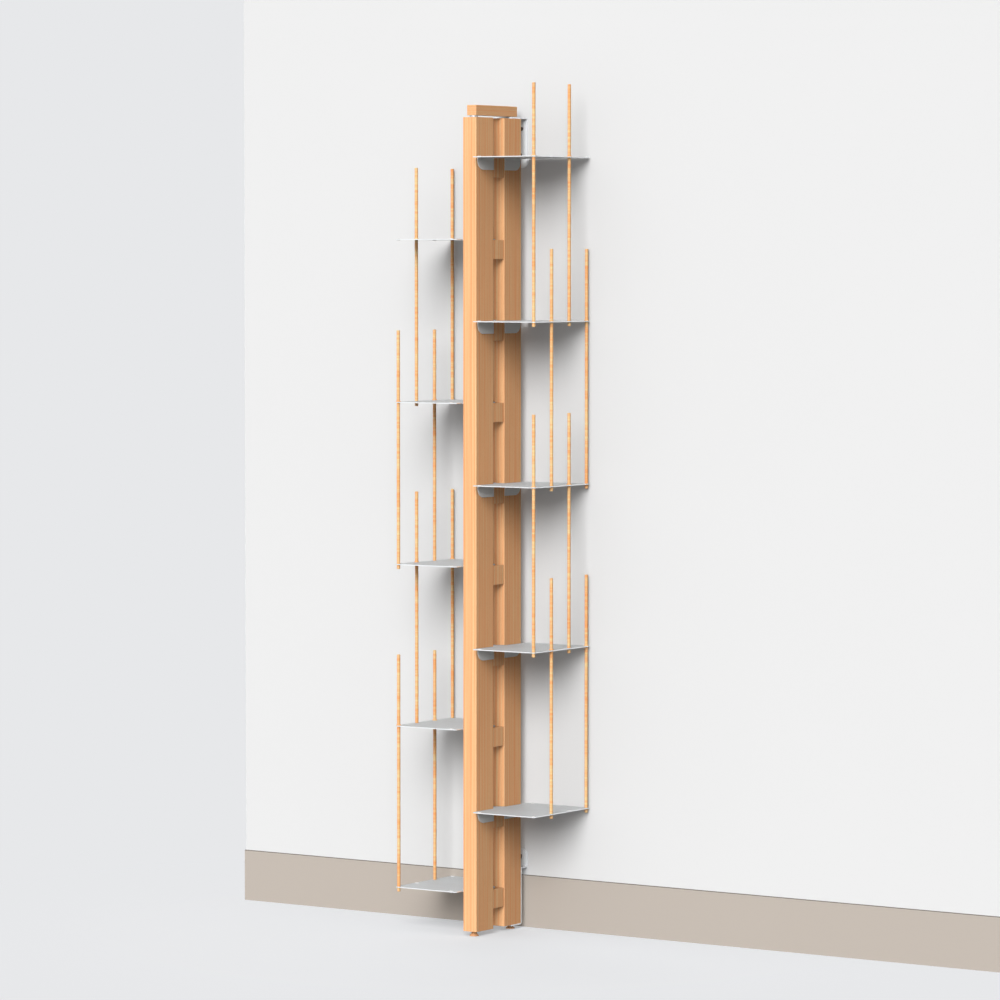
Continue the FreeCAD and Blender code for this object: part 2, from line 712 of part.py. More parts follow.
def make_top_bracket():
    """Angle from the rear post's upper end to the wall; Z = 0 is the post's upper end."""
    body = new_body("top_wall_bracket")
    profile = new_sketch(body, "top_bracket_profile", "YZ_Plane")
    outline(
        profile,
        [
            ("hold_front", "0"),
            ("plate_face", "0"),
            ("plate_face", "-top_drop"),
            ("wall_plane", "-top_drop"),
            ("wall_plane", "bracket_thickness"),
            ("hold_front", "bracket_thickness"),
        ],
    )
    pad(body, profile, "top_bracket_stock", "column_width", symmetric=True)
    low = -size("top_drop")
    thick = size("bracket_thickness")
    dress(
        body, "Fillet", "top_bracket_bend_outside", "bracket_outer_bend",
        lambda edge: runs_along(edge, "x") and lies_at(edge, y=size("wall_plane"), z=thick),
    )
    dress(
        body, "Fillet", "top_bracket_bend_inside", "bracket_bend",
        lambda edge: runs_along(edge, "x") and lies_at(edge, y=size("plate_face"), z=0),
    )
    dress(
        body, "Fillet", "top_bracket_corners", "bracket_corner",
        lambda edge: runs_along(edge, "y") and lies_at(edge, z=low),
    )
    bolt = new_sketch(body, "top_bracket_bolt_centre", "XY_Plane")
    disc(bolt, "0", "bolt_y", "bolt_radius")
    pocket(body, bolt, "top_bracket_bolt_hole")
    holes = new_sketch(body, "top_bracket_wall_holes", "XZ_Plane")
    disc(holes, "0", "-wall_hole_z", "wall_hole_radius")
    slot(
        holes, ("-wall_slot_half", "-wall_slot_z"), ("wall_slot_half", "-wall_slot_z"),
        "wall_slot_radius", upright=False,
    )
    pocket(body, holes, "top_bracket_wall_hole_cut")
    place(body, z="Sheet.ground_clearance + Sheet.column_height")
    return keep(body)


def make_bottom_bracket():
    """Strip from under the rear post up its back, then back to the wall above the skirting."""
    body = new_body("bottom_wall_bracket")
    profile = new_sketch(body, "bottom_bracket_profile", "YZ_Plane")
    outline(
        profile,
        [
            ("hold_front", "-bracket_thickness"),
            ("strip_back", "-bracket_thickness"),
            ("strip_back", "strip_top"),
            ("wall_plane", "strip_top"),
            ("wall_plane", "tab_top"),
            ("plate_face", "tab_top"),
            ("plate_face", "step_top"),
            ("half_depth", "step_top"),
            ("half_depth", "0"),
            ("hold_front", "0"),
        ],
    )
    pad(body, profile, "bottom_bracket_stock", "column_width", symmetric=True)
    thick = size("bracket_thickness")
    outside = (
        (size("strip_back"), -thick),
        (size("half_depth"), size("step_top")),
        (size("wall_plane"), size("strip_top")),
    )
    inside = (
        (size("strip_back"), size("strip_top")),
        (size("plate_face"), size("step_top")),
    )
    for name, length, corners in (
        ("bottom_bracket_bends_outside", "bracket_outer_bend", outside),
        ("bottom_bracket_bends_inside", "bracket_bend", inside),
    ):
        dress(
            body, "Fillet", name, length,
            lambda edge: runs_along(edge, "x") and any(lies_at(edge, y=y, z=z) for y, z in corners),
        )
    top = size("tab_top")
    dress(
        body, "Fillet", "bottom_bracket_corners", "bracket_corner",
        lambda edge: runs_along(edge, "y") and lies_at(edge, z=top),
    )
    stud = new_sketch(body, "bottom_bracket_stud_centre", "XY_Plane")
    disc(stud, "0", "foot_y", "stud_bore")
    pocket(body, stud, "bottom_bracket_stud_hole")
    hole = new_sketch(body, "bottom_bracket_wall_slot", "XZ_Plane")
    slot(hole, ("0", "tab_slot_low"), ("0", "tab_slot_high"), "tab_slot_radius", upright=True)
    pocket(body, hole, "bottom_bracket_wall_slot_cut")
    place(body, z="Sheet.ground_clearance")
    return keep(body)


def make_cap_bolts():
    """Two socket bolts that hold the cap; the seat under a head is at Z = 0."""
    body = turned_piece(
        "cap_bolt",
        [
            ("0", "-bolt_length"),
            ("bolt_radius", "-bolt_length"),
            ("bolt_radius", "0"),
            ("bolt_head_radius", "0"),
            ("bolt_head_radius", "bolt_head_height"),
            ("0", "bolt_head_height"),
        ],
    )
    socket = new_sketch(body, "cap_bolt_socket", "XY_Plane", "Sheet.bolt_head_height")
    hexagon(socket, "socket_radius")
    pocket(body, socket, "cap_bolt_socket_cut", "socket_depth")
    seat = "Sheet.cap_base + Sheet.cap_height - Sheet.sink_depth"
    group("cap_bolts", body, [("0", y, seat) for y in BOLT_ENDS])


def make_inserts():
    """Threaded inserts in the posts' ends: bolts screw into the upper two, feet into the lower."""
    foot = turned_piece(
        "foot_insert",
        [
            ("stud_bore", "0"),
            ("insert_radius", "0"),
            ("insert_radius", "insert_length"),
            ("stud_bore", "insert_length"),
        ],
    )
    head = turned_piece(
        "cap_insert",
        [
            ("bolt_radius", "-insert_length"),
            ("insert_radius", "-insert_length"),
            ("insert_radius", "0"),
            ("bolt_radius", "0"),
        ],
    )
    group("foot_inserts", foot, [("0", y, "Sheet.ground_clearance") for y in FOOT_ENDS])
    group("cap_inserts", head, [("0", y, POST_TOP) for y in BOLT_ENDS])


def make_dowels():
    """Dowels that join every rung to both posts."""
    body = new_body("dowel")
    section = new_sketch(body, "dowel_section", "XZ_Plane")
    disc(section, "0", "0", "dowel_radius")
    pad(body, section, "dowel_stock", "dowel_length", symmetric=True)
    places = [
        ("0", side, "%s - Sheet.%s" % (level_height(level), drop))
        for level in range(LEVELS)
        for side in ("-Sheet.half_gap", "Sheet.half_gap")
        for drop in ("dowel_low", "dowel_high")
    ]
    group("rung_dowels", body, places)


def make_shelf_screws():
    """One screw through each shelf's tongue into its rung."""
    body = turned_piece(
        "shelf_screw",
        [
            ("0", "-screw_length"),
            ("screw_radius", "-screw_straight"),
            ("screw_radius", "0"),
            ("screw_head_radius", "0"),
            ("screw_crown", "screw_rise"),
            ("0", "screw_rise"),
        ],
    )
    places = [
        (outward(side, "screw_x"), "0", sheet_top(side, number))
        for side in SIDES
        for number in range(1, SHELVES_PER_SIDE + 1)
    ]
    group("shelf_screws", body, places)


def free_holes(side, number):
    """Rod holes of a shelf, 0 at the front, that no rod passes through."""
    used = set()
    if number < SHELVES_PER_SIDE:
        used.update((first_hole(side, number), first_hole(side, number) + 2))
    if number > 1:
        used.update((first_hole(side, number - 1), first_hole(side, number - 1) + 2))
    return [hole for hole in range(ROD_HOLES) if hole not in used]


def make_hole_plugs():
    """Plugs in every shelf hole that has no rod."""
    body = turned_piece(
        "hole_plug",
        [
            ("0", "-plug_foot"),
            ("hole_radius", "-plug_foot"),
            ("hole_radius", "0"),
            ("plug_radius", "0"),
            ("plug_crown", "plug_rise"),
            ("0", "plug_rise"),
        ],
    )
    places = []
    for side in SIDES:
        for number in range(1, SHELVES_PER_SIDE + 1):
            z = sheet_top(side, number)
            for hole in (0, ROD_HOLES - 1):
                places.append((outward(side, "inner_hole_x"), hole_y(hole), z))
            for hole in free_holes(side, number):
                places.append((outward(side, "rod_x"), hole_y(hole), z))
    group("hole_plugs", body, places)


def check_document():
    """Stop if any object failed, or any node has no sound shape."""
    doc.recompute()
    for item in doc.Objects:
        if "Invalid" in item.State or "Error" in item.State:
            raise RuntimeError("%s did not compute: %s" % (item.Label, item.State))
    for node in nodes:
        if node.Shape.isNull() or not node.Shape.isValid():
            raise RuntimeError("%s has no sound shape" % node.Label)


fill_sheet()
make_post("front_post", front=True)
make_post("rear_post", front=False)
for side in SIDES:
    for number in range(1, SHELVES_PER_SIDE + 1):
        make_rung(side, number)
        make_shelf(side, number)
for side in SIDES:
    for number in range(1, SHELVES_PER_SIDE):
        for row, hole in (("front", first_hole(side, number)), ("rear", first_hole(side, number) + 2)):
            make_rod(side, number, hole, "rod_%s_%d_%s" % (side, number, row))
make_cap()
make_washer("front_spacer", "cap_gap", "-Sheet.bolt_y", POST_TOP)
make_washer("rear_washer", "washer_thickness", "Sheet.bolt_y", POST_TOP + " + Sheet.bracket_thickness")
make_top_bracket()
make_bottom_bracket()
make_foot("front")
make_foot("rear")
make_cap_bolts()
make_inserts()
make_dowels()
make_shelf_screws()
make_hole_plugs()
check_document()

os.makedirs("parts", exist_ok=True)
for node in nodes:
    node.Shape.exportStep("parts/%s.step" % node.Label)
print("%d nodes written" % len(nodes))
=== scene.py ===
"""Looks of the spine bookshelf.

A slender beech ladder column stands on two small turned feet and is held to the wall by two white
brackets. White sheet steel shelves hang on it left and right in turn, and beech rods drop through
their outer edges. All lengths are metres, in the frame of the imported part.
"""

import logging
import math
from dataclasses import dataclass, replace
from enum import Enum
from typing import Callable, Iterable, Sequence, Union

import bmesh
import bpy
from mathutils import Matrix, Vector


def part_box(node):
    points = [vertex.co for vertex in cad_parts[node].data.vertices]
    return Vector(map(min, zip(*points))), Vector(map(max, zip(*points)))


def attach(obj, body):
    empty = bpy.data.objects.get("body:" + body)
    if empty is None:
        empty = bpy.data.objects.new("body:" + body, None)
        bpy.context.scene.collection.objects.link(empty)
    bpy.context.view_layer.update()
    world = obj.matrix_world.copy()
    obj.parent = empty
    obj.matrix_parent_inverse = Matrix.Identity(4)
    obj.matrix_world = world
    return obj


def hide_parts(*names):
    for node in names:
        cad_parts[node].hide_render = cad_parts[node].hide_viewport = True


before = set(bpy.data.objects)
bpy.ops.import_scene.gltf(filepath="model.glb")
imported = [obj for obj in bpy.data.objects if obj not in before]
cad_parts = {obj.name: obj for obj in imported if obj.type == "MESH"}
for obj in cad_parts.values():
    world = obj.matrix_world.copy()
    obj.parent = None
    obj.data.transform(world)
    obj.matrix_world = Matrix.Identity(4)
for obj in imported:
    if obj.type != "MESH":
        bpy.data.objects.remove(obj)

Colour = tuple[float, float, float, float]
Place = tuple[float, float, float]
Material = bpy.types.Material
Piece = bpy.types.Object
Node = bpy.types.Node
Tree = bpy.types.NodeTree
Socket = bpy.types.NodeSocket
Shape = bmesh.types.BMesh
Vert = bmesh.types.BMVert
Edge = bmesh.types.BMEdge
Sockets = dict[str, Socket]
Feed = Union[Socket, float, tuple, None]
Group = Callable[[], Tree]
Fill = Callable[["Bench", Sockets], Sockets]

SIDES = ("right", "left")
ROWS = ("front", "rear")
SHELVES_PER_SIDE = 5
RODS_PER_SIDE = 4
ROD_HOLES = 4
TINY = 1e-6
ORIGIN = (0.0, 0.0, 0.0)
UP = (0.0, 0.0, 1.0)
EVEN = (1.0, 1.0, 1.0)

log = logging.getLogger("spine_bookshelf")


def tone(red: int, green: int, blue: int) -> Colour:
    """Turn a screen colour of 0 to 255 a channel into the linear colour that nodes take.

    Args:
        red: Red channel as a screen shows it.
        green: Green channel as a screen shows it.
        blue: Blue channel as a screen shows it.

    Returns:
        The linear colour with an alpha of 1.
    """
    linear = []
    for channel in (red, green, blue):
        part = channel / 255
        linear.append(part / 12.92 if part <= 0.04045 else ((part + 0.055) / 1.055) ** 2.4)
    return (linear[0], linear[1], linear[2], 1.0)


WHITE = tone(255, 255, 255)
BACKDROP = tone(231, 232, 234)
# Painted shade: the grey that bright finishes show to bounced light, which darkens and greys their
# neighbours' shade.
BOUNCE_GREY = tone(90, 88, 86)
END_GRAIN = tone(214, 156, 106)
OPEN_PORES = tone(150, 98, 60)
RUBBED_BEECH = tone(255, 217, 170)
DUST_ON_BEECH = tone(228, 222, 214)
DUST_ON_STEEL = tone(205, 201, 195)
DUST_ON_PLASTIC = tone(214, 210, 204)
# Painted light: the shelves' tabs sit in shade under each shelf, so their sides are made lighter.
PAINTED_TAB_LIGHT = tone(254, 252, 248)
# Painted highlight on the shelves' cut edges and tab rims, and on the brackets' sideways faces.
PAINTED_EDGE_HIGHLIGHT = tone(250, 252, 255)
# Painted shade: dark discs standing for drilled holes in the wall, which has no holes.
HOLE_SHADE = tone(84, 82, 80)
# Painted shade: a dark line over the skirting's eased upper edge, against the wall.
SKIRTING_LIP_SHADE = tone(132, 126, 119)

SATIN = 0.2
# How much of the painted-shade grey bounced light sees.
BOUNCE_SHARE = 0.75
NODES_IN_A_ROW = 12
NODE_WIDTH, NODE_HEIGHT = 190, 230


class Bench:
    """A node tree on the bench: nodes are placed in it, set and joined."""

    def __init__(self, tree: Tree) -> None:
        """Take the tree that is to be filled."""
        self.tree = tree

    def add(self, kind: str, **settings: object) -> Node:
        """Place a node in the next free spot.

        Args:
            kind: Blender's name of the node type.
            **settings: Node properties to set.

        Returns:
            The new node.
        """
        node = self.tree.nodes.new(kind)
        row, column = divmod(len(self.tree.nodes), NODES_IN_A_ROW)
        node.location = (NODE_WIDTH * column, -NODE_HEIGHT * row)
        for name, value in settings.items():
            setattr(node, name, value)
        return node

    def feed(self, socket: Socket, source: Feed) -> None:
        """Feed an input.

        Args:
            socket: The input.
            source: Output that it is joined to, or its value; None leaves it as it is.
        """
        if isinstance(source, Socket):
            self.tree.links.new(source, socket)
        elif source is not None:
            socket.default_value = source

    def wire(self, node: Node, **inputs: Feed) -> Node:
        """Feed a node's inputs by name.

        Args:
            node: The node.
            **inputs: What each input gets, with underscores for the spaces in its name.

        Returns:
            The node.
        """
        for name, source in inputs.items():
            self.feed(node.inputs[name.replace("_", " ")], source)
        return node

    def line_up(self, kind: str, terms: Iterable[Feed], **settings: object) -> Node:
        """Place a node and feed its inputs in their order.

        Args:
            kind: Blender's name of the node type.
            terms: What the first inputs get.
            **settings: Node properties to set.

        Returns:
            The new node.
        """
        node = self.add(kind, **settings)
        for socket, term in zip(node.inputs, terms):
            self.feed(socket, term)
        return node

    def maths(self, operation: str, *terms: Feed, clamp: bool = False) -> Socket:
        """Work out a number from one or two, held between 0 and 1 if clamp is set."""
        node = self.line_up("ShaderNodeMath", terms, operation=operation, use_clamp=clamp)
        return node.outputs[0]

    def chain(self, operation: str, terms: Sequence[Feed], clamp: bool = False) -> Socket:
        """Work through numbers with one operation.

        Args:
            operation: Operation of the Math nodes.
            terms: Two or more sockets or numbers.
            clamp: Whether the result is held between 0 and 1.

        Returns:
            The result.
        """
        result = terms[0]
        for term in terms[1:-1]:
            result = self.maths(operation, result, term)
        return self.maths(operation, result, terms[-1], clamp=clamp)

    def times(self, *terms: Feed) -> Socket:
        """Multiply numbers."""
        return self.chain("MULTIPLY", terms)

    def plus(self, *terms: Feed, clamp: bool = False) -> Socket:
        """Add numbers up, held between 0 and 1 if clamp is set."""
        return self.chain("ADD", terms, clamp)

    def minus(self, *terms: Feed) -> Socket:
        """Take the other numbers from the first one."""
        return self.chain("SUBTRACT", terms)

    def swing(self, value: Feed, depth: Feed) -> Socket:
        """Centre a number of 0 to 1 on nothing and give it a depth."""
        return self.times(self.minus(value, 0.5), depth)

    def weigh(self, *shares: tuple[Feed, float], clamp: bool = False) -> Socket:
        """Add up numbers, each times its share."""
        return self.plus(*(self.times(value, share) for value, share in shares), clamp=clamp)

    def vectors(self, operation: str, *terms: Feed, out: int = 0) -> Socket:
        """Work out a vector, or with out=1 a number, from vectors."""
        return self.line_up("ShaderNodeVectorMath", terms, operation=operation).outputs[out]

    def parts(self, vector: Feed) -> tuple[Socket, Socket, Socket]:
        """Split a vector into its three numbers."""
        return tuple(self.line_up("ShaderNodeSeparateXYZ", (vector,)).outputs)

    def from_axis(self, vector: Feed) -> Socket:
        """How far a place is from the Z axis."""
        x, y, _ = self.parts(vector)
        return self.maths("SQRT", self.plus(self.times(x, x), self.times(y, y)))

    def noise(
        self, vector: Feed, scale: Feed = 1.0, detail: float = 2.0, rough: float = 0.5
    ) -> Socket:
        """Soft noise of 0 to 1: waves in a unit, finer layers, and their strength."""
        node = self.add("ShaderNodeTexNoise", noise_dimensions="3D")
        return self.wire(
            node, Vector=vector, Scale=scale, Detail=detail, Roughness=rough).outputs[0]

    def line_noise(self, along: Feed) -> Socket:
        """Noise along one number."""
        node = self.add("ShaderNodeTexNoise", noise_dimensions="1D")
        return self.wire(node, W=along, Scale=1.0, Detail=2.0).outputs[0]

    def fibres(
        self, vector: Feed, across: float, along: float, detail: float = 1.0, rough: float = 0.5
    ) -> Socket:
        """Noise with its own number of waves across the Z axis and along it."""
        return self.noise(self.place(vector, scale=(across, across, along)), 1.0, detail, rough)

    def cells(self, vector: Feed, scale: float) -> Node:
        """Place a pattern of cells, so many in a unit."""
        node = self.add("ShaderNodeTexVoronoi", feature="F1")
        return self.wire(node, Vector=vector, Scale=scale)

    def dots(self, vector: Feed, scale: float, core: float, rim: float) -> Socket:
        """Soft dots in cells: 1 inside the core and 0 outside the rim."""
        away = self.cells(vector, scale).outputs["Distance"]
        return self.spread(away, core, rim, 1.0, 0.0, smooth=True)

    def spread(
        self, value: Feed, low: float, high: float, to_low: float = 0.0, to_high: float = 1.0,
        smooth: bool = False
    ) -> Socket:
        """Stretch a number from one range to another and hold it there.

        Args:
            value: Number to stretch.
            low: Value that becomes to_low.
            high: Value that becomes to_high.
            to_low: Lower end of the result.
            to_high: Upper end of the result.
            smooth: Whether it eases in and out.

        Returns:
            The stretched number.
        """
        ease = "SMOOTHSTEP" if smooth else "LINEAR"
        terms = (value, low, high, to_low, to_high)
        node = self.line_up("ShaderNodeMapRange", terms, clamp=True, interpolation_type=ease)
        return node.outputs[0]

    def blend(self, factor: Feed, first: Feed, second: Feed, kind: str = "MIX") -> Socket:
        """Blend two colours.

        Args:
            factor: How much of the second one is taken.
            first: Colour at 0.
            second: Colour at 1.
            kind: Blend type of the Mix node.

        Returns:
            The blended colour.
        """
        node = self.add("ShaderNodeMix", data_type="RGBA", blend_type=kind, clamp_factor=True)
        for number, source in ((0, factor), (6, first), (7, second)):
            self.feed(node.inputs[number], source)
        return node.outputs[2]

    def layers(self, colour: Feed, *coats: tuple[Feed, Feed]) -> Socket:
        """Lay coats of colour over each other.

        Args:
            colour: Colour of the ground.
            *coats: Mask and colour of each coat, from below.

        Returns:
            The colour that shows.
        """
        for mask, coat in coats:
            colour = self.blend(mask, colour, coat)
        return colour

    def place(
        self, vector: Feed, shift: Place = ORIGIN, turn: Place = ORIGIN, scale: Place = EVEN
    ) -> Socket:
        """Move, turn and stretch the coordinates that a pattern reads.

        Args:
            vector: The coordinates.
            shift: How far they are moved.
            turn: Their turn about X, Y and Z in degrees.
            scale: Their stretch along X, Y and Z.

        Returns:
            The new coordinates.
        """
        node = self.add("ShaderNodeMapping")
        angles = tuple(math.radians(angle) for angle in turn)
        self.wire(node, Vector=vector, Location=shift, Rotation=angles, Scale=scale)
        return node.outputs[0]

    def bump(self, height: Feed, distance: float, strength: float) -> Socket:
        """Turn a height of 0 to 1 into a normal; distance is the height's reach."""
        node = self.add("ShaderNodeBump")
        return self.wire(node, Height=height, Distance=distance, Strength=strength).outputs[0]

    def rays(self, *kinds: str) -> Socket:
        """Mask of kinds of rays.

        Args:
            *kinds: Their names, such as Camera or Glossy.

        Returns:
            1 for these rays and 0 for all others.
        """
        path = self.add("ShaderNodeLightPath")
        mask = path.outputs["Is %s Ray" % kinds[0]]
        for kind in kinds[1:]:
            mask = self.maths("MAXIMUM", mask, path.outputs["Is %s Ray" % kind])
        return mask

    def effect(self, group: Group, **inputs: Feed) -> Sockets:
        """Place a shared effect with its own values; its outputs come by name."""
        node = self.wire(self.add("ShaderNodeGroup", node_tree=group()), **inputs)
        return {socket.name: socket for socket in node.outputs}


class Surface(Bench):
    """A material on the bench, with its Principled shader, its places and its normal."""

    def __init__(self, name: str) -> None:
        """Start a material.

        Args:
            name: Name of the material.
        """
        self.material = bpy.data.materials.new(name)
        self.material.use_nodes = True
        super().__init__(self.material.node_tree)
        self.tree.nodes.clear()
        coordinates = self.add("ShaderNodeTexCoord")
        self.here, self.normal = coordinates.outputs["Object"], coordinates.outputs["Normal"]
        self.shader = self.add("ShaderNodeBsdfPrincipled")
        self.output = self.add("ShaderNodeOutputMaterial")
        self.wire(self.output, Surface=self.shader.outputs["BSDF"])

    def layer(self, group: Group, **inputs: Feed) -> Sockets:
        """Place a shared effect that reads the surface's places and normal."""
        return self.effect(group, Vector=self.here, Normal=self.normal, **inputs)

    def dust(self, amount: float) -> Socket:
        """Mask of the dust on the surface."""
        return self.layer(settled_dust, Amount=amount)["Mask"]

    def hushed(self, colour: Feed) -> Socket:
        """Grey a colour for bounced light only: painted shade that darkens its neighbours' shade and
        keeps it untinted.
        """
        return self.blend(self.times(self.rays("Diffuse"), BOUNCE_SHARE), colour, BOUNCE_GREY)

    def cover(self, factor: Feed, other: Socket) -> None:
        """Show another shader over the Principled one, as far as the factor says."""
        mix = self.line_up("ShaderNodeMixShader", (factor, self.shader.outputs["BSDF"], other))
        self.wire(self.output, Surface=mix.outputs["Shader"])

    def finish(self, **inputs: Feed) -> Material:
        """Feed the Principled shader and hand over the material."""
        self.wire(self.shader, **inputs)
        return self.material


def input_kind(value: object) -> str:
    """Find the kind of a group's input.

    Args:
        value: Its starting value: a number, a colour, a vector, or None for a vector.

    Returns:
        Blender's name of the socket type.
    """
    if isinstance(value, float):
        return "NodeSocketFloat"
    return "NodeSocketColor" if value is not None and len(value) == 4 else "NodeSocketVector"


def shared_effect(*outputs: str, **inputs: object) -> Callable[[Fill], Group]:
    """Make the function below it fill a node group, which has its name and is built once.

    Args:
        *outputs: Names of the outputs: Color is a colour, and any other is a number.
        **inputs: Starting value of each input, with underscores for the spaces in its name.

    Returns:
        What wraps the function.
    """

    def wrap(fill: Fill) -> Group:
        """Wrap a function that fills a group.

        Args:
            fill: The function; from a bench and the group's inputs it gives what the outputs get.

        Returns:
            A function that gives the group.
        """

        def group() -> Tree:
            """Build the group, or fetch it if it is there.

            Returns:
                The node group.
            """
            name = fill.__name__
            if name in bpy.data.node_groups:
                return bpy.data.node_groups[name]
            tree = bpy.data.node_groups.new(name, "ShaderNodeTree")
            for label, value in inputs.items():
                plain, kind = label.replace("_", " "), input_kind(value)
                socket = tree.interface.new_socket(name=plain, in_out="INPUT", socket_type=kind)
                if value is not None:
                    socket.default_value = value
            for label in outputs:
                kind = "NodeSocketColor" if label == "Color" else "NodeSocketFloat"
                tree.interface.new_socket(name=label, in_out="OUTPUT", socket_type=kind)
            bench = Bench(tree)
            source = bench.add("NodeGroupInput")
            made = fill(bench, {socket.name: socket for socket in source.outputs if socket.name})
            bench.wire(bench.add("NodeGroupOutput"), **made)
            return tree

        return group

    return wrap


@shared_effect(
    "Color", "Roughness", "Height", Vector=None, Pale=tone(254, 199, 147), Dark=tone(247, 172, 117),
    Warm=tone(250, 177, 127), Fleck=tone(206, 140, 88), Ring_Width=0.0042, Ring_Depth=0.5,
    Fibre_Depth=0.9, Fine_Depth=0.5, Fleck_Depth=0.3, Roughness=0.42)
def beech_figure(bench: Bench, given: Sockets) -> Sockets:
    """Solid beech: growth rings round a pith, fibres along Z and short dark ray flecks.

    Args:
        bench: Bench of the group.
        given: Its inputs.

    Returns:
        What feeds its outputs.
    """
    ring_wander, width_waves, width_jitter, ground = 0.012, 0.43, 2.2, 0.22
    fine_rough, fine_relief, fleck_relief, ring_relief = 0.16, 0.5, 0.45, 0.12
    vector = given["Vector"]
    wander = bench.swing(bench.fibres(vector, across=9.0, along=1.2, detail=2.0), ring_wander)
    phase = bench.maths("DIVIDE", bench.plus(bench.from_axis(vector), wander), given["Ring Width"])
    uneven = bench.times(bench.line_noise(bench.times(phase, width_waves)), width_jitter)
    ring = bench.maths("FRACT", bench.plus(phase, uneven))
    rising = bench.spread(ring, 0.30, 0.90, smooth=True)
    late = bench.times(rising, bench.spread(ring, 0.90, 1.0, 1.0, 0.0))
    coarse = bench.fibres(vector, across=260.0, along=3.4, detail=2.0)
    fine = bench.fibres(vector, across=1150.0, along=21.0)
    drift = bench.fibres(vector, across=14.0, along=1.7)
    flecks = bench.dots(bench.place(vector, scale=(720.0, 720.0, 105.0)), 1.0, core=0.10, rim=0.30)
    amount = bench.plus(
        bench.times(late, given["Ring Depth"]), bench.swing(coarse, given["Fibre Depth"]),
        bench.swing(fine, given["Fine Depth"]), ground, clamp=True)
    colour = bench.layers(
        bench.blend(amount, given["Pale"], given["Dark"]),
        (bench.spread(drift, 0.42, 0.72, 0.0, 0.20), given["Warm"]),
        (bench.times(flecks, given["Fleck Depth"]), given["Fleck"]))
    rough = bench.plus(bench.times(fine, fine_rough), given["Roughness"])
    raised = bench.plus(bench.times(fine, fine_relief), 0.5)
    height = bench.minus(raised, bench.times(flecks, fleck_relief), bench.times(late, ring_relief))
    return {"Color": colour, "Roughness": rough, "Height": height}


@shared_effect("Mask", "Pores", Vector=None, Normal=None, Axis=UP)
def end_grain(bench: Bench, given: Sockets) -> Sockets:
    """Mask of the faces that cut across the fibres, and the open pores seen there.

    Args:
        bench: Bench of the group.
        given: Its inputs.

    Returns:
        What feeds its outputs.
    """
    facing = bench.vectors("DOT_PRODUCT", given["Normal"], given["Axis"], out=1)
    across = bench.maths("ABSOLUTE", facing)
    mask = bench.spread(across, 0.80, 0.96, smooth=True)
    pores = bench.dots(given["Vector"], 1900.0, core=0.12, rim=0.34)
    return {"Mask": mask, "Pores": bench.times(pores, mask)}


@shared_effect("Mask", Vector=None, Normal=None, Amount=0.5)
def edge_wear(bench: Bench, given: Sockets) -> Sockets:
    """Mask of the rounded edges of a square piece, rubbed unevenly.

    Args:
        bench: Bench of the group.
        given: Its inputs.

    Returns:
        What feeds its output.
    """
    flat = bench.chain("MAXIMUM", bench.parts(bench.vectors("ABSOLUTE", given["Normal"])))
    edge = bench.spread(flat, 0.80, 0.985, 1.0, 0.0, smooth=True)
    patches = bench.spread(bench.noise(given["Vector"], 34.0, 3.0, 0.6), 0.38, 0.62)
    return {"Mask": bench.times(edge, patches, given["Amount"])}


@shared_effect("Mask", Vector=None, Normal=None, Amount=0.2)
def settled_dust(bench: Bench, given: Sockets) -> Sockets:
    """Mask of the thin dust that lies on faces that look up, thicker in patches.

    Args:
        bench: Bench of the group.
        given: Its inputs.

    Returns:
        What feeds its output.
    """
    facing = bench.spread(bench.parts(given["Normal"])[2], 0.55, 0.95, smooth=True)
    patches = bench.spread(bench.noise(given["Vector"], 19.0, 4.0, 0.62), 0.35, 0.70)
    specks = bench.spread(bench.noise(given["Vector"], 1700.0, 1.0), 0.60, 0.74)
    amount = bench.weigh((patches, 0.6), (specks, 0.4))
    return {"Mask": bench.times(facing, amount, given["Amount"])}


@shared_effect("Tint", "Roughness", "Height", Vector=None, Pebbles=900.0, Speckle=0.5)
def powder_skin(bench: Bench, given: Sockets) -> Sockets:
    """Baked powder coat: a fine pebbled skin whose tone and gloss change a little.

    Args:
        bench: Bench of the group.
        given: Its inputs.

    Returns:
        What feeds its outputs.
    """
    cloud_depth, grit_depth, wave_depth, pebble_gloss = 0.06, 0.05, 0.9, 0.4
    vector = given["Vector"]
    pebbles = bench.noise(vector, given["Pebbles"], 2.0, 0.55)
    waves = bench.noise(vector, 330.0, 2.0)
    cloud = bench.noise(vector, 11.0, 3.0)
    grit = bench.noise(vector, 2600.0, 1.0)
    tint = bench.plus(
        bench.swing(pebbles, given["Speckle"]), bench.swing(cloud, cloud_depth),
        bench.swing(grit, grit_depth), bench.swing(waves, wave_depth), 0.5, clamp=True)
    gloss = bench.plus(cloud, bench.times(pebbles, pebble_gloss))
    return {"Tint": tint, "Roughness": bench.spread(gloss, 0.5, 0.9, 0.50, 0.62),
            "Height": bench.weigh((pebbles, 0.6), (waves, 0.4))}


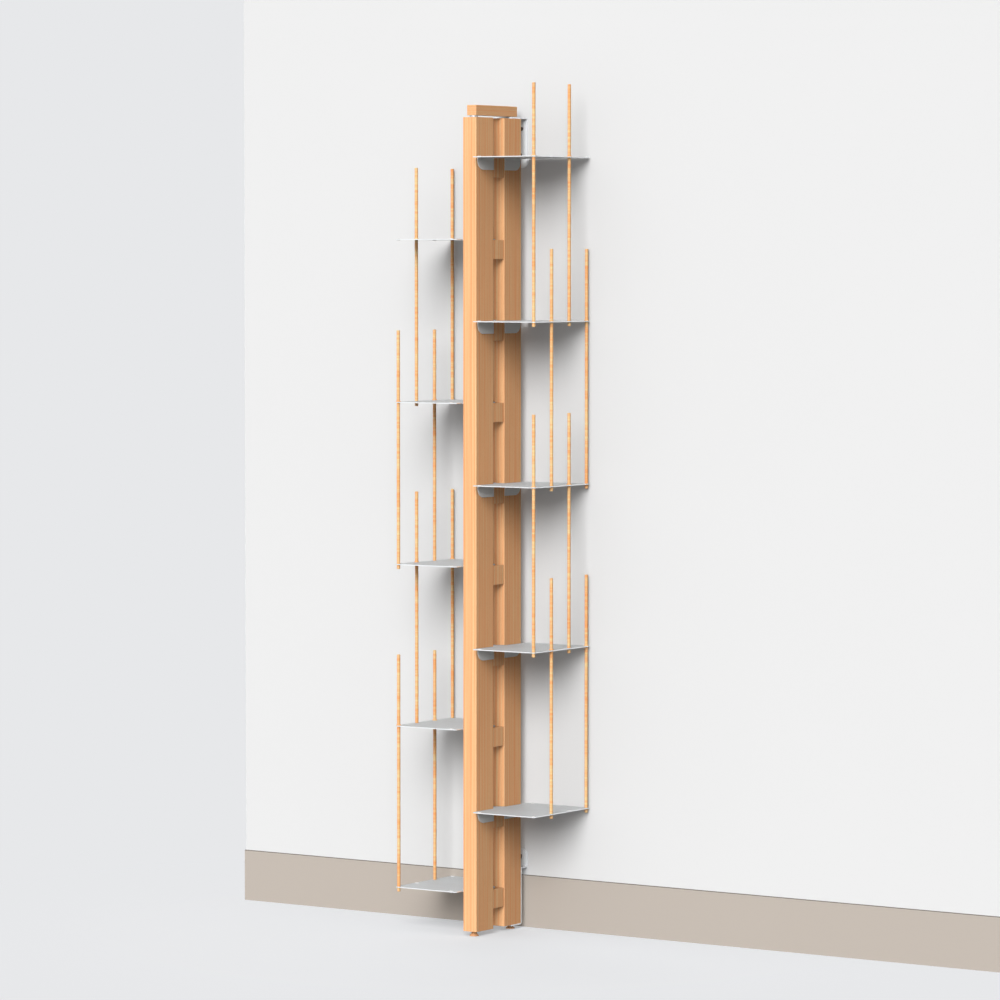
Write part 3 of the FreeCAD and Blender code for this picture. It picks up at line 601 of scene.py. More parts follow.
@shared_effect("Cut", "Tab", "Sideways", Vector=None, Normal=None)
def sheet_edges(bench: Bench, given: Sockets) -> Sockets:
    """Masks of bent sheet: cut edges and tab rims (painted highlight), tabs' sides (painted light),
    sideways faces.

    Args:
        bench: Bench of the group.
        given: Its inputs.

    Returns:
        What feeds its outputs.
    """
    tray_start, tab_start, tab_end = 0.0215, 0.0186, 0.0209
    half, most = 0.5, 0.7
    over, under = "GREATER_THAN", "LESS_THAN"
    normal_x, _, normal_z = bench.parts(given["Normal"])
    across = bench.maths("ABSOLUTE", normal_x)
    x = bench.maths("ABSOLUTE", bench.parts(given["Vector"])[0])
    sideways = bench.maths(over, across, most)
    upright = bench.maths(under, bench.maths("ABSOLUTE", normal_z), half)
    tray = bench.times(bench.maths(over, x, tray_start), upright)
    tab = bench.times(bench.maths(over, x, tab_start), bench.maths(under, x, tab_end))
    rim = bench.times(bench.maths(under, across, half), bench.maths(under, normal_z, half))
    # Highlight: where a highlight is painted, on the cut edges beyond the tabs and on the tabs'
    # rims.
    return {"Cut": bench.maths("MAXIMUM", tray, bench.times(tab, rim)),
            "Tab": bench.times(tab, sideways), "Sideways": sideways}


@shared_effect("Band", Vector=None, Depth=1.0)
def turned_bands(bench: Bench, given: Sockets) -> Sockets:
    """Soft bands across a slender rod, short ones in longer ones, a little askew.

    Args:
        bench: Bench of the group.
        given: Its inputs.

    Returns:
        What feeds its output.
    """
    short_depth, thin_depth, long_depth = 1.7, 0.8, 1.3
    vector = given["Vector"]
    short = bench.fibres(vector, across=5.0, along=140.0, detail=1.5, rough=0.6)
    thin = bench.fibres(vector, across=9.0, along=400.0)
    long = bench.fibres(vector, across=7.0, along=24.0)
    bands = ((short, short_depth), (thin, thin_depth), (long, long_depth))
    mixed = bench.plus(*(bench.swing(band, depth) for band, depth in bands))
    return {"Band": bench.plus(bench.times(mixed, given["Depth"]), 0.5, clamp=True)}


@shared_effect("Tint", "Roughness", "Height", Vector=None, Roughness=0.28)
def handled_metal(bench: Bench, given: Sockets) -> Sockets:
    """Small plated hardware: spangle, fine scratches and a duller bloom in patches.

    Args:
        bench: Bench of the group.
        given: Its inputs.

    Returns:
        What feeds its outputs.
    """
    bloom_rough, scratch_rough = 0.22, 0.12
    vector, ground = given["Vector"], given["Roughness"]
    spangle = bench.parts(bench.cells(vector, 1500.0).outputs["Color"])[0]
    scratch = bench.fibres(vector, across=5200.0, along=240.0)
    bloom = bench.spread(bench.noise(vector, 420.0, 3.0), 0.42, 0.66)
    rough = bench.plus(bench.times(bloom, bloom_rough), ground, bench.times(scratch, scratch_rough))
    return {"Tint": bench.weigh((spangle, 0.25), (bloom, 0.6), clamp=True), "Roughness": rough,
            "Height": bench.weigh((scratch, 0.7), (spangle, 0.3))}


class GrainRun(Enum):
    """Which way the fibres of a wooden piece run: the turn of the pattern and the fibres' axis."""

    UPRIGHT = (ORIGIN, UP)
    TOWARDS_WALL = ((90.0, 0.0, 0.0), (0.0, 1.0, 0.0))


@dataclass(frozen=True)
class BeechFinish:
    """Planed and oiled beech; pith is where the tree's centre lay, seen from the piece."""

    name: str
    run: GrainRun = GrainRun.UPRIGHT
    pith: Place = (0.11, 0.07, 0.0)
    ring_width: float = 0.0044
    ring_depth: float = 0.75
    fibre_depth: float = 1.35
    pale: Colour = tone(255, 207, 153)
    dark: Colour = tone(254, 176, 119)
    wear: float = 0.35
    dust: float = 0.10
    end_depth: float = 0.55
    end_rough: float = 0.18
    pore_share: float = 0.8
    pore_relief: float = 0.6
    worn_gloss: float = 0.12
    relief: float = 0.00012

    def make(self) -> Material:
        """Build the material.

        Returns:
            The finished material.
        """
        surface = Surface(self.name)
        turn, axis = self.run.value
        grain = surface.place(surface.here, self.pith, turn)
        wood = surface.effect(
            beech_figure, Vector=grain, Pale=self.pale, Dark=self.dark, Ring_Width=self.ring_width,
            Ring_Depth=self.ring_depth, Fibre_Depth=self.fibre_depth)
        ends = surface.layer(end_grain, Axis=axis)
        worn = surface.layer(edge_wear, Amount=self.wear)["Mask"]
        colour = surface.layers(
            wood["Color"], (surface.times(ends["Mask"], self.end_depth), END_GRAIN),
            (surface.times(ends["Pores"], self.end_depth * self.pore_share), OPEN_PORES),
            (worn, RUBBED_BEECH), (surface.dust(self.dust), DUST_ON_BEECH))
        rough = surface.plus(wood["Roughness"], surface.times(ends["Mask"], self.end_rough))
        rough = surface.minus(rough, surface.times(worn, self.worn_gloss))
        height = surface.minus(wood["Height"], surface.times(ends["Pores"], self.pore_relief))
        # Its colour is greyed for bounced light: painted shade on its neighbours.
        return surface.finish(
            Base_Color=surface.hushed(colour), Roughness=rough, Specular_IOR_Level=SATIN,
            Normal=surface.bump(height, self.relief, 0.7))


@dataclass(frozen=True)
class TurnedBeechFinish:
    """Slender turned beech, whose figure shows as bands across it."""

    name: str
    depth: float = 1.05
    pale: Colour = tone(255, 222, 164)
    dark: Colour = tone(255, 178, 113)
    figure_dark: Colour = tone(252, 242, 232)
    figure_warm: Colour = tone(255, 249, 243)
    figure_fleck: Colour = tone(236, 214, 190)
    end_depth: float = 0.5
    pore_depth: float = 0.4
    band_relief: float = 0.3
    relief: float = 0.00010
    shift: Place = ORIGIN

    def make(self) -> Material:
        """Build the material.

        Returns:
            The finished material.
        """
        surface = Surface(self.name)
        grain = surface.place(surface.here, self.shift)
        band = surface.effect(turned_bands, Vector=grain, Depth=self.depth)["Band"]
        wood = surface.effect(
            beech_figure, Vector=grain, Pale=WHITE, Dark=self.figure_dark, Warm=self.figure_warm,
            Fleck=self.figure_fleck, Ring_Depth=0.25, Fibre_Depth=0.8, Fleck_Depth=0.3)
        ends = surface.layer(end_grain, Axis=UP)
        banded = surface.blend(band, self.pale, self.dark)
        colour = surface.layers(
            surface.blend(1.0, banded, wood["Color"], "MULTIPLY"),
            (surface.times(ends["Mask"], self.end_depth), END_GRAIN),
            (surface.times(ends["Pores"], self.pore_depth), OPEN_PORES))
        height = surface.plus(wood["Height"], surface.times(band, self.band_relief))
        # Its colour is greyed for bounced light: painted shade on its neighbours.
        return surface.finish(
            Base_Color=surface.hushed(colour), Roughness=wood["Roughness"],
            Specular_IOR_Level=SATIN, Normal=surface.bump(height, self.relief, 0.6))


@dataclass(frozen=True)
class PowderCoatFinish:
    """White powder coat on bent steel, with a painted highlight where the sheet is cut and painted
    light on the tabs' sides.
    """

    name: str
    colour: Colour = tone(231, 234, 235)
    shade: Colour = tone(206, 210, 213)
    speckle: float = 0.5
    dust: float = 0.25
    dust_rough: float = 0.3
    # The painted edge highlight's share of the colour, and the metallic share of its sideways faces.
    cut_depth: float = 0.9
    bare_share: float = 0.75
    relief: float = 0.00010
    # On: the highlight is painted on the shelf's cut edges and tab rims, and the tabs' sides get
    # painted light. Off: every sideways face gets the highlight.
    tray: bool = True

    def make(self) -> Material:
        """Build the material.

        Returns:
            The finished material.
        """
        surface = Surface(self.name)
        skin = surface.effect(powder_skin, Vector=surface.here, Speckle=self.speckle)
        dusty = surface.dust(self.dust)
        sheet = surface.layer(sheet_edges)
        # Where the highlight is painted.
        cut = sheet["Cut"] if self.tray else sheet["Sideways"]
        coat = surface.blend(skin["Tint"], self.shade, self.colour)
        colour = surface.blend(dusty, coat, DUST_ON_STEEL)
        if self.tray:
            # Painted light on the tabs' sideways faces.
            colour = surface.blend(sheet["Tab"], colour, PAINTED_TAB_LIGHT)
        # Painted highlight; these faces are also coated, and metallic where they face sideways.
        colour = surface.blend(surface.times(cut, self.cut_depth), colour, PAINTED_EDGE_HIGHLIGHT)
        rough = surface.plus(skin["Roughness"], surface.times(dusty, self.dust_rough))
        # Its colour is greyed for bounced light: painted shade on its neighbours.
        return surface.finish(
            Base_Color=surface.hushed(colour), Roughness=rough, Specular_IOR_Level=SATIN,
            Metallic=surface.times(cut, sheet["Sideways"], self.bare_share), Coat_Weight=cut,
            Coat_Roughness=0.25, Normal=surface.bump(skin["Height"], self.relief, 0.55))


@dataclass(frozen=True)
class PlatedFinish:
    """Plated or bare metal of the small hardware."""

    name: str
    bright: Colour = tone(206, 208, 210)
    dull: Colour = tone(158, 161, 164)
    roughness: float = 0.26
    relief: float = 0.00003

    def make(self) -> Material:
        """Build the material.

        Returns:
            The finished material.
        """
        surface = Surface(self.name)
        metal = surface.effect(handled_metal, Vector=surface.here, Roughness=self.roughness)
        colour = surface.blend(metal["Tint"], self.bright, self.dull)
        return surface.finish(
            Base_Color=colour, Roughness=metal["Roughness"], Metallic=1.0,
            Normal=surface.bump(metal["Height"], self.relief, 0.6))


@dataclass(frozen=True)
class MouldedFinish:
    """Bright white plastic of the hole plugs, with a fine spark-eroded skin under its gloss."""

    name: str
    colour: Colour = tone(254, 254, 253)
    shade: Colour = tone(244, 244, 243)
    dust: float = 0.12
    relief: float = 0.00003

    def make(self) -> Material:
        """Build the material.

        Returns:
            The finished material.
        """
        surface = Surface(self.name)
        skin = surface.effect(powder_skin, Vector=surface.here, Pebbles=4200.0, Speckle=0.4)
        colour = surface.blend(skin["Tint"], self.shade, self.colour)
        colour = surface.blend(surface.dust(self.dust), colour, DUST_ON_PLASTIC)
        return surface.finish(
            Base_Color=colour, Roughness=skin["Roughness"], Coat_Weight=1.0, Coat_Roughness=0.12,
            Normal=surface.bump(skin["Height"], self.relief, 0.5))


@dataclass(frozen=True)
class RoomFinish:
    """Painted surface of the room, seen only from its front; over its lip a dark shade line is
    painted.
    """

    name: str
    colour: Colour
    mottle: float = 0.02
    relief: float = 0.0002
    # Spots, radius and soft edge of the painted hole shade.
    drilled: tuple[Place, ...] = ()
    drill: float = 0.0045
    drill_edge: float = 0.0006
    # Height above which the painted shade line starts; the wall's lies above its top.
    lip: float = 9.0

    def make(self) -> Material:
        """Build the material.

        Returns:
            The finished material.
        """
        surface = Surface(self.name)
        stipple = surface.noise(surface.here, 420.0, 3.0, 0.6)
        amount = surface.weigh((stipple, 0.7), (surface.noise(surface.here, 2.6, 2.0), 0.3))
        dark = tuple(channel * (1 - self.mottle * 2) for channel in self.colour[:3]) + (1.0,)
        colour = surface.blend(surface.spread(amount, 0.35, 0.65), dark, self.colour)
        # Painted shade of the drilled holes, as dark discs.
        for spot in self.drilled:
            away = surface.vectors("DISTANCE", surface.here, spot, out=1)
            hole = surface.spread(away, self.drill, self.drill + self.drill_edge, 1.0, 0.0)
            colour = surface.blend(hole, colour, HOLE_SHADE)
        # Painted shade line over the lip.
        above = surface.maths("GREATER_THAN", surface.parts(surface.here)[2], self.lip)
        behind = surface.add("ShaderNodeNewGeometry").outputs["Backfacing"]
        surface.cover(behind, surface.add("ShaderNodeBsdfTransparent").outputs["BSDF"])
        return surface.finish(
            Base_Color=surface.blend(above, colour, SKIRTING_LIP_SHADE), Roughness=0.9,
            Specular_IOR_Level=0.1, Normal=surface.bump(stipple, self.relief, 0.35))


@dataclass(frozen=True)
class FloorFinish:
    """Pale seamless floor that takes the shadows near the shelf and fades into the backdrop."""

    name: str = "pale_floor"
    shade: Colour = tone(232, 233, 235)
    colour: Colour = tone(236, 237, 239)
    fade_from: float = 0.55
    fade_to: float = 1.5
    glow: float = 0.31

    def make(self) -> Material:
        """Build the material.

        Returns:
            The finished material.
        """
        surface = Surface(self.name)
        away = surface.from_axis(surface.here)
        faded = surface.spread(away, self.fade_from, self.fade_to, smooth=True)
        stipple = surface.spread(surface.noise(surface.here, 700.0, 2.0), 0.3, 0.7)
        seen = surface.rays("Camera", "Glossy")
        plain = surface.wire(surface.add("ShaderNodeEmission"), Color=BACKDROP)
        surface.cover(surface.times(faded, seen), plain.outputs["Emission"])
        return surface.finish(
            Base_Color=surface.blend(stipple, self.shade, self.colour), Roughness=0.95,
            Emission_Color=BACKDROP, Emission_Strength=surface.times(seen, self.glow),
            Specular_IOR_Level=0.0)


def dress(names: Iterable[str], material: Material) -> list[str]:
    """Give CAD nodes a finish.

    Args:
        names: Names of the nodes.
        material: The finish.

    Returns:
        The names.
    """
    for name in names:
        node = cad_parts[name]
        if not node.material_slots:
            node.data.materials.append(material)
        for slot in node.material_slots:
            slot.material = material
    return list(names)


def turned(profile: Sequence[tuple[float, float]], steps: int) -> Shape:
    """Turn a profile about the Z axis.

    Args:
        profile: Radius and height of its points.
        steps: Number of faces round the axis.

    Returns:
        A bmesh, open where the profile ends away from the axis.
    """
    shape = bmesh.new()
    points = [shape.verts.new((radius, 0.0, height)) for radius, height in profile]
    edges = [shape.edges.new(pair) for pair in zip(points, points[1:])]
    bmesh.ops.spin(
        shape, geom=[*points, *edges], cent=ORIGIN, axis=UP, angle=math.tau, steps=steps,
        use_merge=True, use_duplicate=False)
    bmesh.ops.remove_doubles(shape, verts=shape.verts[:], dist=TINY)
    return shape


def of_kind(items: Iterable[object], kind: type) -> list:
    """Pick the vertices or the edges from what an operator made."""
    return [item for item in items if isinstance(item, kind)]


def add_hexagon_socket(shape: Shape, top: float, radius: float, depth: float) -> None:
    """Close an open round rim at a height with a face that has a hexagon socket.

    Args:
        shape: Turned shape whose rim is open at the top.
        top: Height of the rim.
        radius: From the socket's centre to its corners.
        depth: Depth of the socket.
    """
    rim = [edge for edge in shape.edges
           if edge.is_boundary and all(abs(vert.co.z - top) < TINY for vert in edge.verts)]
    made = bmesh.ops.create_circle(
        shape, cap_ends=False, segments=6, radius=radius, matrix=Matrix.Translation((0, 0, top)))
    mouth = list({edge for vert in made["verts"] for edge in vert.link_edges})
    bmesh.ops.bridge_loops(shape, edges=rim + mouth)
    walls = bmesh.ops.extrude_edge_only(shape, edges=mouth)["geom"]
    bmesh.ops.translate(shape, vec=(0, 0, -depth), verts=of_kind(walls, Vert))
    foot = [edge for edge in of_kind(walls, Edge) if edge.is_boundary]
    bmesh.ops.holes_fill(shape, edges=foot, sides=0)


def add_thread(shape: Shape, core: float, crest: float, pitch: float, low: float, high: float,
               steps: int) -> None:
    """Wind a thread's ridge round the Z axis.

    Args:
        shape: Where it is added.
        core: Radius of the rod that it lies on.
        crest: Outer radius.
        pitch: Rise of one turn.
        low: Height of its start.
        high: Height of its end.
        steps: Faces in a turn.
    """
    turns = int((high - low) / pitch) - 1
    sunk = core * 0.97
    ridge = ((sunk, 0.0), (crest, 0.38), (crest, 0.50), (sunk, 0.88))
    points = [shape.verts.new((radius, 0.0, low + pitch * share)) for radius, share in ridge]
    edges = [shape.edges.new((point, points[number - 1])) for number, point in enumerate(points)]
    bmesh.ops.contextual_create(shape, geom=edges)
    wound = bmesh.ops.spin(
        shape, geom=[*points, *edges], cent=ORIGIN, axis=UP, dvec=(0, 0, pitch / steps),
        angle=math.tau * turns, steps=steps * turns, use_merge=False, use_duplicate=False)
    bmesh.ops.contextual_create(shape, geom=of_kind(wound["geom_last"], Edge))


def repeat(shape: Shape, places: Sequence[Place]) -> Shape:
    """Put a copy of a shape at each of several places.

    Args:
        shape: The shape, about the origin; it is used up.
        places: Where the copies go.

    Returns:
        A bmesh with all the copies.
    """
    original = shape.verts[:] + shape.edges[:] + shape.faces[:]
    copies = [original]
    copies += [bmesh.ops.duplicate(shape, geom=original)["geom"] for _ in places[1:]]
    for copy, spot in zip(copies, places):
        bmesh.ops.translate(shape, vec=spot, verts=of_kind(copy, Vert))
    return shape


def settle(shape: Shape, name: str, material: Material, sharp: float = 32.0,
           outward: bool = True) -> Piece:
    """Turn a bmesh into an object at the origin.

    Args:
        shape: The shape; it is used up.
        name: Name of the object.
        material: Its finish.
        sharp: Angle in degrees over which an edge is crisp.
        outward: Whether its faces are turned outwards first.

    Returns:
        The object.
    """
    if outward:
        bmesh.ops.recalc_face_normals(shape, faces=shape.faces[:])
    mesh = bpy.data.meshes.new(name)
    shape.to_mesh(mesh)
    shape.free()
    mesh.shade_smooth()
    mesh.set_sharp_from_angle(angle=math.radians(sharp))
    mesh.materials.append(material)
    piece = bpy.data.objects.new(name, mesh)
    bpy.context.scene.collection.objects.link(piece)
    return piece


def node_centre(name: str) -> Vector:
    """Middle of a node's box."""
    low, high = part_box(name)
    return (Vector(low) + Vector(high)) / 2


def node_top(name: str) -> float:
    """Height of a node's upper end."""
    return Vector(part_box(name)[1]).z


def numbered(kind: str, count: int) -> list[str]:
    """Names of a numbered kind of node on both sides, from the top."""
    return ["%s_%s_%d" % (kind, side, number) for side in SIDES for number in range(1, count + 1)]


def rod_names(*rows: str) -> list[str]:
    """Names of the rods in these rows."""
    return ["%s_%s" % (name, row) for name in numbered("rod", RODS_PER_SIDE) for row in rows]


@dataclass
class Column:
    """The ladder column: two posts, ten rungs and their dowels, and the cap."""

    post_finish: BeechFinish = BeechFinish("beech_front_post", pith=(0.125, 0.19, 0.0), wear=0.45)
    rear_finish: BeechFinish = BeechFinish(
        "beech_rear_post", pith=(0.09, -0.14, 0.6), ring_width=0.0040, pale=tone(255, 205, 151),
        dark=tone(253, 174, 117))
    rung_finish: BeechFinish = BeechFinish(
        "beech_rung", pith=(-0.12, 0.05, 1.3), ring_width=0.0048, pale=tone(255, 205, 151),
        dark=tone(253, 173, 116))
    cap_finish: BeechFinish = BeechFinish(
        "beech_cap", run=GrainRun.TOWARDS_WALL, pith=(0.06, -0.12, 0.03), ring_width=0.0046,
        dark=tone(254, 177, 121), dust=0.16, end_depth=0.12)
    dowel_finish: BeechFinish = BeechFinish(
        "beech_dowel", run=GrainRun.TOWARDS_WALL, pith=(0.05, 0.08, 0.0))

    def build(self) -> list[str]:
        """Dress the wooden nodes.

        Returns:
            Their names.
        """
        dressed = (
            (["front_post"], self.post_finish),
            (["rear_post"], self.rear_finish),
            (numbered("rung", SHELVES_PER_SIDE), self.rung_finish),
            (["cap"], self.cap_finish),
            (["rung_dowels"], self.dowel_finish),
        )
        return [name for names, finish in dressed for name in dress(names, finish.make())]


@dataclass
class ShelfSet:
    """The ten bent sheet shelves."""

    finish: PowderCoatFinish = PowderCoatFinish("shelf_powder_coat")

    def build(self) -> list[str]:
        """Dress the shelves; their names come back."""
        return dress(numbered("shelf", SHELVES_PER_SIDE), self.finish.make())


@dataclass
class RodSet:
    """The sixteen book rods with their collars."""

    front_finish: TurnedBeechFinish = TurnedBeechFinish("beech_rod_front")
    rear_finish: TurnedBeechFinish = TurnedBeechFinish(
        "beech_rod_rear", shift=(0.31, 0.17, 0.053), pale=tone(255, 220, 162),
        dark=tone(254, 175, 111))

    def build(self) -> list[str]:
        """Dress the two rows of rods; their names come back."""
        finishes = zip(ROWS, (self.front_finish, self.rear_finish))
        return [name for row, finish in finishes for name in dress(rod_names(row), finish.make())]


@dataclass
class WallBrackets:
    """The two bent steel brackets, the spacer and the washer under the cap."""

    finish: PowderCoatFinish = PowderCoatFinish(
        "bracket_powder_coat", colour=tone(251, 254, 255), shade=tone(242, 246, 250), speckle=0.4,
        dust=0.15, tray=False)
    ring_finish: PlatedFinish = PlatedFinish("zinc_ring", roughness=0.32)

    def build(self) -> list[str]:
        """Dress the brackets and the rings; their names come back."""
        brackets = dress(["top_wall_bracket", "bottom_wall_bracket"], self.finish.make())
        return brackets + dress(["front_spacer", "rear_washer"], self.ring_finish.make())


@dataclass
class Feet:
    """The two turned feet and the threaded studs that screw them into the posts."""

    crest: float = 0.00298
    core: float = 0.00245
    pitch: float = 0.0010
    chamfer: float = 0.0008
    chamfer_slope: float = 0.7
    steps: int = 18
    foot_finish: BeechFinish = BeechFinish(
        "beech_foot", pith=(0.05, 0.04, 0.0), ring_width=0.0030, wear=0.0, pale=tone(247, 189, 138),
        dark=tone(235, 165, 115), dust=0.05)
    stud_finish: PlatedFinish = PlatedFinish("zinc_stud")

    def stud(self, which: str, material: Material) -> Piece:
        """Build one threaded stud in the place of its node.

        Args:
            which: "front" or "rear".
            material: Its finish.

        Returns:
            The stud.
        """
        node = which + "_foot_stud"
        centre = node_centre(node)
        low, high = (Vector(corner).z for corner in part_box(node))
        core, neck = self.core, high - self.chamfer
        tip = core - self.chamfer * self.chamfer_slope
        profile = [(0.0, low), (core, low), (core, neck), (tip, high), (0.0, high)]
        shape = turned(profile, self.steps)
        add_thread(shape, core, self.crest, self.pitch, low, neck, self.steps)
        bmesh.ops.translate(shape, vec=(centre.x, centre.y, 0.0), verts=shape.verts[:])
        piece = settle(shape, which + "_threaded_stud", material, sharp=28.0)
        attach(piece, which + "_foot_body")
        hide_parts(node)
        return piece

    def build(self) -> list[str]:
        """Dress the feet and build their studs.

        Returns:
            Names of the feet and studs.
        """
        feet = dress(["front_foot", "rear_foot"], self.foot_finish.make())
        material = self.stud_finish.make()
        return feet + [self.stud(which, material).name for which in ROWS]


@dataclass
class ShelfScrews:
    """One round-headed wood screw through the tongue of each shelf."""

    from_middle: float = 0.00695
    head: float = 0.004
    rim_share: float = 0.52
    dome_share: float = 0.88
    dome_steps: int = 4
    rise: float = 0.002
    neck: float = 0.003
    thread_top: float = 0.004
    shank: float = 0.0015
    crest: float = 0.00198
    pitch: float = 0.0018
    length: float = 0.030
    tip: float = 0.004
    socket: float = 0.0017
    socket_depth: float = 0.0012
    head_steps: int = 24
    thread_steps: int = 12
    finish: PlatedFinish = PlatedFinish("zinc_screw", roughness=0.22)

    def places(self) -> list[Place]:
        """Find where the screws sit.

        Returns:
            Their centres on the shelves' upper faces.
        """
        middle = node_centre("cap")
        across = {"right": self.from_middle, "left": -self.from_middle}
        return [(middle.x + across[name.split("_")[1]], middle.y, node_top(name))
                for name in numbered("shelf", SHELVES_PER_SIDE)]

    def build(self) -> list[str]:
        """Build the ten screws as one piece.

        Returns:
            The piece's name.
        """
        rim = self.head * self.rim_share
        profile = [(rim, self.rise)]
        for step in range(1, self.dome_steps + 1):
            angle = step / self.dome_steps * math.pi / 2
            height = 1 - self.dome_share + self.dome_share * math.cos(angle)
            profile.append((rim + (self.head - rim) * math.sin(angle), self.rise * height))
        point = self.tip - self.length
        profile += [(self.head, 0.0), (self.crest, 0.0), (self.shank, -self.neck),
                    (self.shank, point), (0.0, -self.length)]
        shape = turned(profile, self.head_steps)
        add_hexagon_socket(shape, self.rise, self.socket, self.socket_depth)
        add_thread(
            shape, self.shank, self.crest, self.pitch, point, -self.thread_top, self.thread_steps)
        bmesh.ops.recalc_face_normals(shape, faces=shape.faces[:])
        piece = settle(repeat(shape, self.places()), "shelf_screw_set", self.finish.make())
        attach(piece, "column")
        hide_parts("shelf_screws")
        return [piece.name]


@dataclass
class HolePlugs:
    """Snap-in plugs in every shelf hole that no rod passes."""

    rod_edge: float = 0.0065
    inner_edge: float = 0.0170
    sheet_start: float = 0.02275
    head: float = 0.0052
    rise: float = 0.0015
    crown: tuple[tuple[float, float], ...] = ((0.45, 0.97), (0.75, 0.80), (0.93, 0.48), (1.0, 0.16))
    stem: float = 0.0044
    barb: float = 0.0047
    barb_start: float = 0.0002
    barb_widest: float = 0.0005
    taper: float = 0.0006
    wall: float = 0.0010
    hollow: float = 0.4
    sheet: float = 0.002
    below: float = 0.0012
    steps: int = 20
    finish: MouldedFinish = MouldedFinish("plug_plastic")

    def places(self) -> list[Place]:
        """Find the holes that are plugged.

        Returns:
            Their centres on the shelves' upper faces.
        """
        spots = []
        rods = [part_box(name) for name in rod_names(*ROWS)]
        middle = node_centre("cap").x
        reach = self.sheet_start + self.inner_edge
        for name in numbered("shelf", SHELVES_PER_SIDE):
            low, high = (Vector(corner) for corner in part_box(name))
            right = high.x > -low.x
            outer = high.x - self.rod_edge if right else low.x + self.rod_edge
            inner = middle + reach if right else middle - reach
            first, last = low.y + self.rod_edge, high.y - self.rod_edge
            spots += [(inner, first, high.z), (inner, last, high.z)]
            for hole in range(ROD_HOLES):
                spot = (outer, first + (last - first) * hole / (ROD_HOLES - 1), high.z)
                if not any(all(least < at < most for least, at, most in zip(lowest, spot, highest))
                           for lowest, highest in rods):
                    spots.append(spot)
        return spots

    def build(self) -> list[str]:
        """Build the plugs as one piece.

        Returns:
            The piece's name.
        """
        under = -self.sheet
        foot, inside = under - self.below, under * self.hollow
        bore = self.stem - self.wall
        profile = [(0.0, self.rise)]
        profile += [(self.head * radius, self.rise * height) for radius, height in self.crown]
        profile += [(self.head, 0.0), (self.stem, 0.0), (self.stem, under - self.barb_start),
                    (self.barb, under - self.barb_widest), (self.stem - self.taper, foot),
                    (bore, foot), (bore, inside), (0.0, inside)]
        shape = turned(profile, self.steps)
        bmesh.ops.recalc_face_normals(shape, faces=shape.faces[:])
        spots = self.places()
        piece = settle(repeat(shape, spots), "hole_plug_set", self.finish.make())
        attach(piece, "column")
        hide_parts("hole_plugs")
        log.info("hole plugs: %d", len(spots))
        return [piece.name]


@dataclass
class CapBolts:
    """The two socket bolts in the cap, with knurled heads, and the brass inserts they share."""

    head: float = 0.005
    head_height: float = 0.006
    bevel: float = 0.0004
    shank: float = 0.00298
    sink_depth: float = 0.008
    length: float = 0.036
    socket: float = 0.0025
    socket_depth: float = 0.003
    knurl: float = 0.00012
    knurl_edge: float = 0.00008
    flutes: int = 32
    upright: float = 0.1
    outermost: float = 0.97
    bolt_finish: PlatedFinish = PlatedFinish(
        "zinc_bolt", bright=tone(196, 198, 201), roughness=0.24)
    insert_finish: PlatedFinish = PlatedFinish(
        "brass_insert", bright=tone(221, 190, 112), dull=tone(176, 141, 74), roughness=0.3)

    def build(self) -> list[str]:
        """Build the bolts as one piece and dress the inserts.

        Returns:
            Names of the bolts and inserts.
        """
        bevel, rim, top = self.bevel, self.head - self.bevel, self.head_height
        profile = [(rim, top), (self.head, top - bevel), (self.head, bevel), (rim, 0.0),
                   (self.shank, 0.0), (self.shank, -self.length), (0.0, -self.length)]
        shape = turned(profile, self.flutes * 2)
        add_hexagon_socket(shape, top, self.socket, self.socket_depth)
        bmesh.ops.recalc_face_normals(shape, faces=shape.faces[:])
        outer = self.head * self.outermost
        sides = [face for face in shape.faces if abs(face.normal.z) < self.upright
                 and face.calc_center_median().xy.length > outer]
        bmesh.ops.inset_individual(
            shape, faces=sides[::2], thickness=self.knurl_edge, depth=-self.knurl)
        seat = node_top("cap") - self.sink_depth
        middle = node_centre("cap")
        reach = node_centre("front_spacer").y - middle.y
        spots = [(middle.x, middle.y + reach, seat), (middle.x, middle.y - reach, seat)]
        piece = settle(repeat(shape, spots), "cap_bolt_pair", self.bolt_finish.make(), sharp=25.0)
        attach(piece, "column")
        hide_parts("cap_bolts")
        return [piece.name, *dress(["cap_inserts", "foot_inserts"], self.insert_finish.make())]


